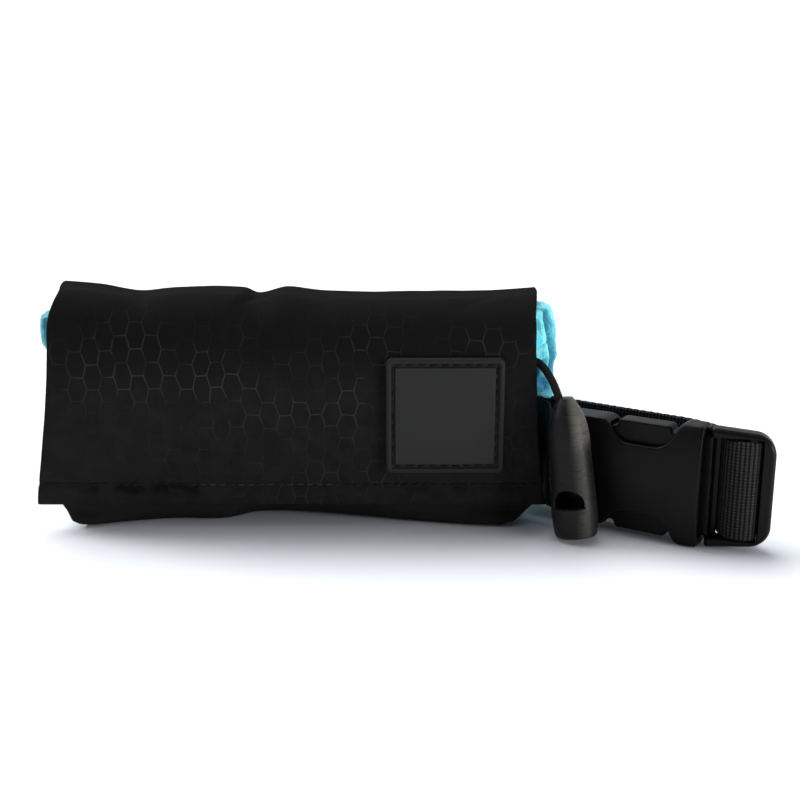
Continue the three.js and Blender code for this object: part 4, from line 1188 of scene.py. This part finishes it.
def belt_route():
    """The belt's corners in plan with their radii, from its sewn end to its tail, and its heights there."""
    clear = GAP + BELT["thick"] / 2
    slot_x = (SOCKET_SLOT["from"] + SOCKET_SLOT["to"]) / 2
    end_bar = END_BAR_HALF + clear
    past_bar = -SOCKET["length"] - BELT["thick"]
    ladder = LADDER_BAR["half_thick"] + clear + WEB_BULGE
    tail_behind = SOCKET_THICK["middle_half"] + GAP + clear
    at_buckle = BUCKLE["seam"][2]
    on_floor = BELT["width"] / 2 + GAP
    rows = [
        (SEWN_END, at_buckle + SEWN_LIFT, 0),
        (SEWN_LEAD, at_buckle + SEWN_LIFT / 2, 5),
        (beside_buckle(past_bar, -end_bar), at_buckle, 3),
        (beside_buckle(slot_x, -end_bar), at_buckle, 1.5),
        (beside_buckle(slot_x, end_bar), at_buckle, 1.5),
        (beside_buckle(past_bar, end_bar), at_buckle, 3),
        (POUCH_SIDE, at_buckle, 12),
        (POUCH_CORNER, BELT_SLEEVE_Z, 4.5),
        (LEFT_HIP, BELT_SLEEVE_Z, 40),
        (LOOP_LEFT, on_floor, 95),
        (LOOP_RIGHT, on_floor, 95),
        (LOOP_RETURN, at_buckle + RETURN_RISE, 9),
        (beside_buckle(TAIL["return_at"], tail_behind + TAIL["room"]), at_buckle + RETURN_RISE, 12),
        (beside_plug(WEB_OUT, BEHIND_PLUG), at_buckle, 2.2),
        (beside_plug(WEB_OUT, -ladder), at_buckle, 3.2),
        (beside_plug(WEB_IN, -ladder), at_buckle, 5.6),
        (beside_plug(WEB_IN, BEHIND_PLUG), at_buckle - TAIL["droop"] / 2, 2),
        (beside_buckle(TAIL["end"], tail_behind), at_buckle - TAIL["droop"], 0),
    ]
    return [(*at, radius) for at, _, radius in rows], np.array([z for _, z, _ in rows])


def make_belt():
    corners, heights = belt_route()
    path, places = rounded_path(corners, BELT_LINES["step"])
    from_row = np.floor(places).astype(int)
    to_row = np.minimum(from_row + 1, len(heights) - 1)
    z = heights[from_row] + (heights[to_row] - heights[from_row]) * smooth(places % 1, 0, 1)
    along = lengths_along(path)
    way = unit(np.gradient(path, axis=0))
    side = np.stack([way[:, 1], -way[:, 0]], axis=1)
    half_width = BELT["width"] / 2
    half_thick = BELT["thick"] / 2
    flat_half = half_width - half_thick
    turn = np.linspace(0, np.pi, BELT_LINES["round"])[1:-1]
    flat = np.linspace(flat_half, -flat_half, BELT_LINES["flat"])
    cap = flat_half + half_thick * np.sin(turn)
    lift = half_thick * np.cos(turn)
    ring_z = np.concatenate([flat, -cap, flat[::-1], cap])
    front = np.full(len(flat), half_thick)
    ring_out = np.concatenate([front, lift, -front, -lift])
    count = len(ring_z)
    points = np.zeros((len(path), count, 3))
    points[:, :, :2] = path[:, None] + side[:, None] * ring_out[None, :, None]
    selvage = np.sign(ring_z) * smooth(np.abs(ring_z), half_width - 2 * half_thick, half_width)
    ripple = SELVAGE["high"] * np.sin(2 * np.pi * along / SELVAGE["pitch"])
    points[:, :, 2] = z[:, None] + ring_z + ripple[:, None] * selvage
    cloth = np.stack(np.broadcast_arrays(ring_z[None, :], along[:, None]), axis=-1)
    faces = loft_faces(len(path), count)
    mesh = make_mesh("belt_webbing", points.reshape(-1, 3), faces, cloth.reshape(-1, 2))
    add_piece("belt_webbing", mesh, WEBBING, "webbing", "belt")


# Moulded pieces: closed forms joined or cut, then remeshed finely and smoothed so that edges are round.


def form_from(points, faces):
    """A closed form in millimetres, its faces turned outwards."""
    mesh = bpy.data.meshes.new("form")
    mesh.from_pydata([tuple(p) for p in points], [], faces)
    form = bmesh.new()
    form.from_mesh(mesh)
    bmesh.ops.recalc_face_normals(form, faces=form.faces)
    form.to_mesh(mesh)
    form.free()
    return mesh


def prism(outline, low, high, bevel=0.0):
    """A form from an outline in x and z, from a y to a y, with the edges of both faces bevelled if asked."""
    outline = np.array(outline)
    layers = [(low, 0), (high, 0)]
    if bevel:
        layers = [(low, bevel), (low + bevel, 0), (high - bevel, 0), (high, bevel)]
    way = unit(np.roll(outline, -1, axis=0) - np.roll(outline, 1, axis=0))
    inward = np.stack([-way[:, 1], way[:, 0]], axis=1)
    inward *= np.sign(np.sum(inward * (outline.mean(axis=0) - outline)))
    points = []
    for y, inset in layers:
        points.extend((x, y, z) for x, z in outline + inward * inset)
    return form_from(points, loft_faces(len(layers), len(outline)))


def closed_outline(corners, step=0.4):
    """A closed outline from (x, z, radius) corners."""
    first, last = np.array(corners[0][:2], float), np.array(corners[-1][:2], float)
    middle = (first + last) / 2
    path, _ = rounded_path([(*middle, 0), *corners, (*middle, 0)], step)
    keep = np.linalg.norm(np.diff(path, axis=0), axis=1) > 1e-4
    return path[:-1][keep]


def block(x, y, z):
    """A plain block from its two ends along each axis."""
    outline = [(x[0], z[0]), (x[1], z[0]), (x[1], z[1]), (x[0], z[1])]
    return prism(outline, y[0], y[1])


def both(half):
    return (-half, half)


def joined(meshes):
    form = bmesh.new()
    for mesh in meshes:
        form.from_mesh(mesh)
    whole = bpy.data.meshes.new("joined")
    form.to_mesh(whole)
    form.free()
    return whole


def applied(item):
    """An object's mesh with its modifiers applied."""
    return bpy.data.meshes.new_from_object(item.evaluated_get(bpy.context.evaluated_depsgraph_get()))


def combined(mesh, tool, operation):
    """A form cut by a tool, or what the two have in common."""
    target = add_object("target", mesh)
    cutter = add_object("cutter", tool)
    step = target.modifiers.new("cut", "BOOLEAN")
    step.operation = operation
    step.solver = "EXACT"
    step.use_self = True
    step.object = cutter
    made = applied(target)
    for item in (target, cutter):
        bpy.data.objects.remove(item)
    return made


def add_moulded(name, node, form, finish, stand, material):
    """A plastic piece: a form with evenly small faces and soft edges, in metres and stood in its place."""
    form.transform(Matrix.Scale(MM, 4))
    item = add_object("moulded", form)
    fine = item.modifiers.new("fine", "REMESH")
    fine.mode = "VOXEL"
    fine.voxel_size = finish["voxel"] * MM
    soft = item.modifiers.new("soft", "SMOOTH")
    soft.factor = 0.5
    soft.iterations = finish["passes"]
    mesh = applied(item)
    bpy.data.objects.remove(item)
    mesh.shade_smooth()
    mesh.transform(stand)
    return add_piece(name, mesh, material, "plastic", node)


def mirrored(corners):
    return [(x, -z, radius) for x, z, radius in reversed(corners)]


def pillow(low_x, high_x, half):
    """A bar along the buckle that is thickest across its middle and thinner towards its two edges."""
    spare, count = 1.06, 49
    share = np.linspace(-spare, spare, count)
    low, high = SOCKET_THICK["edge_half"], SOCKET_THICK["middle_half"]
    thick = low + (high - low) * np.sqrt(np.clip(1 - share**2, 0, 1))
    z = half * share
    section = [*zip(thick, z), *zip(-thick[::-1], z[::-1])]
    points = [(x, y, v) for x in (low_x, high_x) for y, v in section]
    return form_from(points, loft_faces(2, len(section)))


def buckle_frame():
    seam = Vector(BUCKLE["seam"]) * MM
    return Matrix.Translation(seam) @ Matrix.Rotation(-BUCKLE["yaw"], 4, "Z")


def make_socket():
    near = WINDOW["x"] + WINDOW["radius"]
    far = WINDOW["x"] - WINDOW["radius"]
    depth_z = WINDOW["z"] - WINDOW["radius"]
    half = [
        (0, SOCKET["mouth_half"], SOCKET_ROUND["mouth"]),
        (near + WINDOW["near_out"], SOCKET["mouth_half"], SOCKET_ROUND["near"]),
        (near - WINDOW["lean"], depth_z, WINDOW["corner"]),
        (far + WINDOW["lean"], depth_z, WINDOW["corner"]),
        (far - WINDOW["far_out"], SOCKET["shoulder_half"], SOCKET_ROUND["far"]),
        (-SOCKET["length"], SOCKET["end_half"], SOCKET_ROUND["end"]),
    ]
    through = 2 * SOCKET_THICK["middle_half"]
    plate = prism(closed_outline(half + mirrored(half)), -through, through)
    rounded = pillow(-2 * SOCKET["length"], SOCKET["length"], SOCKET["mouth_half"])
    body = combined(plate, rounded, "INTERSECT")
    across = both(SOCKET_SLOT["half"])
    recess = (-SOCKET["length"] - OVERLAP, SOCKET_SLOT["to"])
    tools = [
        block((-POCKET["depth"], OVERLAP), both(POCKET["thick"] / 2), both(POCKET["half"])),
        block((SOCKET_SLOT["from"], SOCKET_SLOT["to"]), both(through), across),
        block(recess, (END_BAR_HALF, through), across),
        block(recess, (-through, -END_BAR_HALF), across),
    ]
    for tool in tools:
        body = combined(body, tool, "DIFFERENCE")
    add_moulded("socket_moulding", "buckle_socket", body, SOCKET_FINISH, buckle_frame(), PLASTIC)


def make_plug():
    half = [
        (PLUG["to"], PLUG["end_half"], PLUG_ROUND["end"]),
        (PLUG["from"], PLUG["start_half"], PLUG_ROUND["start"]),
    ]
    thick = PLUG["thick"]
    across = both(PLUG_WINDOW["half"])
    outer = prism(closed_outline(half + mirrored(half)), -thick / 2, thick / 2, PLUG_ROUND["bevel"])
    window = block((PLUG_WINDOW["from"], PLUG_WINDOW["to"]), both(thick), across)
    sunk = (PLUG_RECESS["from"], PLUG_WINDOW["from"] + OVERLAP)
    recess = block(sunk, (-thick, PLUG_RECESS["deep"]), across)
    opened = combined(combined(outer, window, "DIFFERENCE"), recess, "DIFFERENCE")
    bar_across = both(PLUG_WINDOW["half"] + OVERLAP)
    bar = block((LADDER_BAR["from"], LADDER_BAR["to"]), both(LADDER_BAR["half_thick"]), bar_across)
    bent = joined([opened, bar])
    bent.transform(Matrix.Rotation(BUCKLE["bend"], 4, "Z"))
    deep = (SHOULDER["front"], SHOULDER["back"])
    shoulder = block((SHOULDER["from"], SHOULDER["to"]), deep, both(SHOULDER["half"]))
    tongue = block((-TONGUE["length"], TONGUE["root"]), both(TONGUE["thick"] / 2), both(TONGUE["half"]))
    prongs = []
    for corners in (list(PRONG), mirrored(PRONG)):
        prongs.append(prism(closed_outline(corners), -PRONG_THICK / 2, PRONG_THICK / 2, PRONG_BEVEL))
    whole = joined([bent, shoulder, tongue, *prongs])
    add_moulded("plug_moulding", "buckle_plug", whole, PLUG_FINISH, buckle_frame(), PLASTIC)


# The whistle and its cord.


def lathe(profile, sides=96):
    """A closed form turned about +Z from (along, radius) rows, with a flat cap at each end."""
    points = []
    for along, radius in profile:
        for k in range(sides):
            turn = 2 * math.pi * k / sides
            points.append((radius * math.cos(turn), radius * math.sin(turn), along))
    return form_from(points, loft_faces(len(profile), sides))


def whistle_frame():
    """Stands the whistle's own +Z on its axis, with its own -Y to the front."""
    axis = (WHISTLE_TIP - WHISTLE_MOUTH).normalized()
    across = axis.cross(Vector((0, -1, 0))).normalized()
    facing = across.cross(axis)
    turn = Matrix((across, -facing, axis)).transposed()
    return Matrix.Translation(WHISTLE_MOUTH * MM) @ turn.to_4x4()


def make_whistle():
    along = np.linspace(0, WHISTLE["along"][-1], num=120)
    body = lathe(list(zip(along, column_at(WHISTLE, "along", "radius", along))))
    widest = WHISTLE["radius"].max()
    windway = lathe([(-OVERLAP, WINDWAY["radius"]), (WINDWAY["depth"], WINDWAY["radius"])])
    foot = LABIUM["from"]
    peak = foot + 2 * (LABIUM["to"] - foot)
    inner = LABIUM["depth"] - widest
    outer = -LABIUM["depth"] - widest
    section = [(inner, foot), (outer, foot), (outer, peak)]
    ramp = form_from([(x, y, z) for x in both(widest) for y, z in section], loft_faces(2, len(section)))
    slot_half = AIR_SLOT["width"] / 2
    arch = [
        (-slot_half, AIR_SLOT["from"], AIR_SLOT["corner"]),
        (-slot_half, AIR_SLOT["to"], AIR_SLOT["round"]),
        (slot_half, AIR_SLOT["to"], AIR_SLOT["round"]),
        (slot_half, AIR_SLOT["from"], AIR_SLOT["corner"]),
    ]
    slot = prism(closed_outline(arch), -widest - OVERLAP, 0)
    for tool in (ramp, slot):
        tool.transform(Matrix.Rotation(WINDOW_TURN, 4, "Z"))
    for tool in (windway, ramp, slot):
        body = combined(body, tool, "DIFFERENCE")
    return add_moulded("whistle_moulding", "whistle", body, WHISTLE_FINISH, whistle_frame(), SCUFFED_HIGHLIT)


def spline_through(points, per_span):
    """A smooth line through points."""
    points = np.array(points, float)
    padded = np.concatenate([[2 * points[0] - points[1]], points, [2 * points[-1] - points[-2]]])
    line = []
    for k in range(len(points) - 1):
        p0, p1, p2, p3 = padded[k : k + 4]
        slope = p2 - p0
        bend = 2 * p0 - 5 * p1 + 4 * p2 - p3
        twist = 3 * p1 - p0 - 3 * p2 + p3
        for t in np.linspace(0, 1, per_span, endpoint=False):
            line.append(0.5 * (2 * p1 + slope * t + bend * t**2 + twist * t**3))
    line.append(points[-1])
    return np.array(line)


def tube_mesh(name, line, radius, sides):
    """A closed tube along a line, with cloth coordinates round and along it."""
    off_line = (0.3, 1.0, 0.2)
    way = unit(np.gradient(line, axis=0))
    across = unit(np.cross(way, off_line))
    other = np.cross(way, across)
    turn = np.linspace(0, 2 * np.pi, sides, endpoint=False)
    ring = np.cos(turn)[None, :, None] * across[:, None] + np.sin(turn)[None, :, None] * other[:, None]
    points = (line[:, None] + radius * ring).reshape(-1, 3)
    along = lengths_along(line)
    cloth = np.stack(np.broadcast_arrays((turn * radius)[None, :], along[:, None]), axis=-1).reshape(-1, 2)
    return make_mesh(name, points, loft_faces(len(line), sides), cloth)


def make_cord(whistle):
    line = spline_through(CORD_ROUTE, per_span=10)
    mesh = tube_mesh("cord_braid", line, CORD_RADIUS, sides=18)
    piece = add_piece("cord_braid", mesh, BRAID, "braid", "trigger_cord")


# The stage.


def make_stage():
    reach = FLOOR["reach"]
    corners = [(-reach, -reach, 0), (reach, -reach, 0), (reach, reach, 0), (-reach, reach, 0)]
    mesh = bpy.data.meshes.new("floor")
    mesh.from_pydata(corners, [], [(0, 1, 2, 3)])
    paper = Shader("white_paper", Base_Color=(0.86, 0.87, 0.9, 1), Specular_IOR_Level=0.2, Roughness=0.7)
    mesh.materials.append(paper.material)
    floor = add_object("floor", mesh)
    floor.location = (0, 0, -FLOOR["below"])


def make_world():
    """White to the camera; as light it is bright from behind, dim from the front and fair from the sides."""
    world = bpy.data.worlds.new("studio")
    bpy.context.scene.world = world
    world.use_nodes = True
    world.node_tree.nodes.clear()
    nodes = Nodes(world.node_tree)
    x, y, _ = nodes.parts(nodes.node("TexCoord", "Generated"))
    to_back = {"Value": y, "From Min": -0.9, "From Max": 0.6, "To Min": 0.06, "To Max": 0.7}
    to_side = {"Value": nodes.math("ABSOLUTE", x), "From Min": 0.45, "From Max": 1.0, "To Max": 0.28}
    strength = nodes.math("MAXIMUM", nodes.node("MapRange", 0, to_back), nodes.node("MapRange", 0, to_side))
    fill = nodes.node("Background", 0, {"Color": (0.86, 0.92, 1, 1), "Strength": strength})
    seen = nodes.node("Background", 0, {"Color": (1, 1, 1, 1), "Strength": 1.05})
    by_camera = nodes.node("LightPath", "Is Camera Ray")
    out = world.node_tree.nodes.new("ShaderNodeOutputWorld")
    nodes.set(out, 0, nodes.node("MixShader", 0, {0: by_camera, 1: fill, 2: seen}))


def add_sun(name, way, strength, angle):
    """A wide soft light from a way, even over the whole floor."""
    light = bpy.data.lights.new(name, "SUN")
    light.energy = strength
    light.angle = angle
    lamp = add_object(name, light)
    lamp.location = way
    lamp.rotation_euler = (-Vector(way)).to_track_quat("-Z", "Y").to_euler()


def add_panel(name, at, to, size, power):
    """A soft panel of light at a place, turned to another, in metres."""
    light = bpy.data.lights.new(name, "AREA")
    light.shape = "RECTANGLE"
    light.size, light.size_y = size
    light.energy = power
    lamp = add_object(name, light)
    lamp.visible_camera = False
    lamp.location = at
    lamp.rotation_euler = (Vector(to) - Vector(at)).to_track_quat("-Z", "Y").to_euler()


def make_camera():
    camera = bpy.data.cameras.new("camera")
    camera.lens = CAMERA["lens"]
    camera.sensor_width = CAMERA["sensor"]
    camera.clip_start = 0.01
    eye = add_object("camera", camera)
    eye.location = Vector(CAMERA["at"]) * MM
    eye.rotation_euler = (math.pi / 2 - CAMERA["pitch"], 0, 0)
    bpy.context.scene.camera = eye


make_camera()
make_stage()
make_world()
add_sun("softbox", way=(-0.3, 0.5, 1.0), strength=2.6, angle=math.radians(50))
add_sun("left_light", way=(-1.2, 0.5, 0.85), strength=2.2, angle=math.radians(24))
add_panel("side_light", at=(0.87, -0.48, 0.15), to=(0.085, -0.03, 0.03), size=(0.4, 0.3), power=5.0)
bpy.context.scene.view_settings.view_transform = "Standard"

flap, flap_grid = make_flap()
hem_stitches = make_hem_stitches(flap_grid)
make_body()
make_gusset("gusset_left_cloth", "gusset_left", GUSSET_LEFT, -1, 0)
make_gusset("gusset_right_cloth", "gusset_right", GUSSET_RIGHT, 1, CORD_SETBACK["depth"])
patch, patch_stitches = make_patch()
make_sleeve()
make_belt()
make_socket()
make_plug()
make_cord(make_whistle())
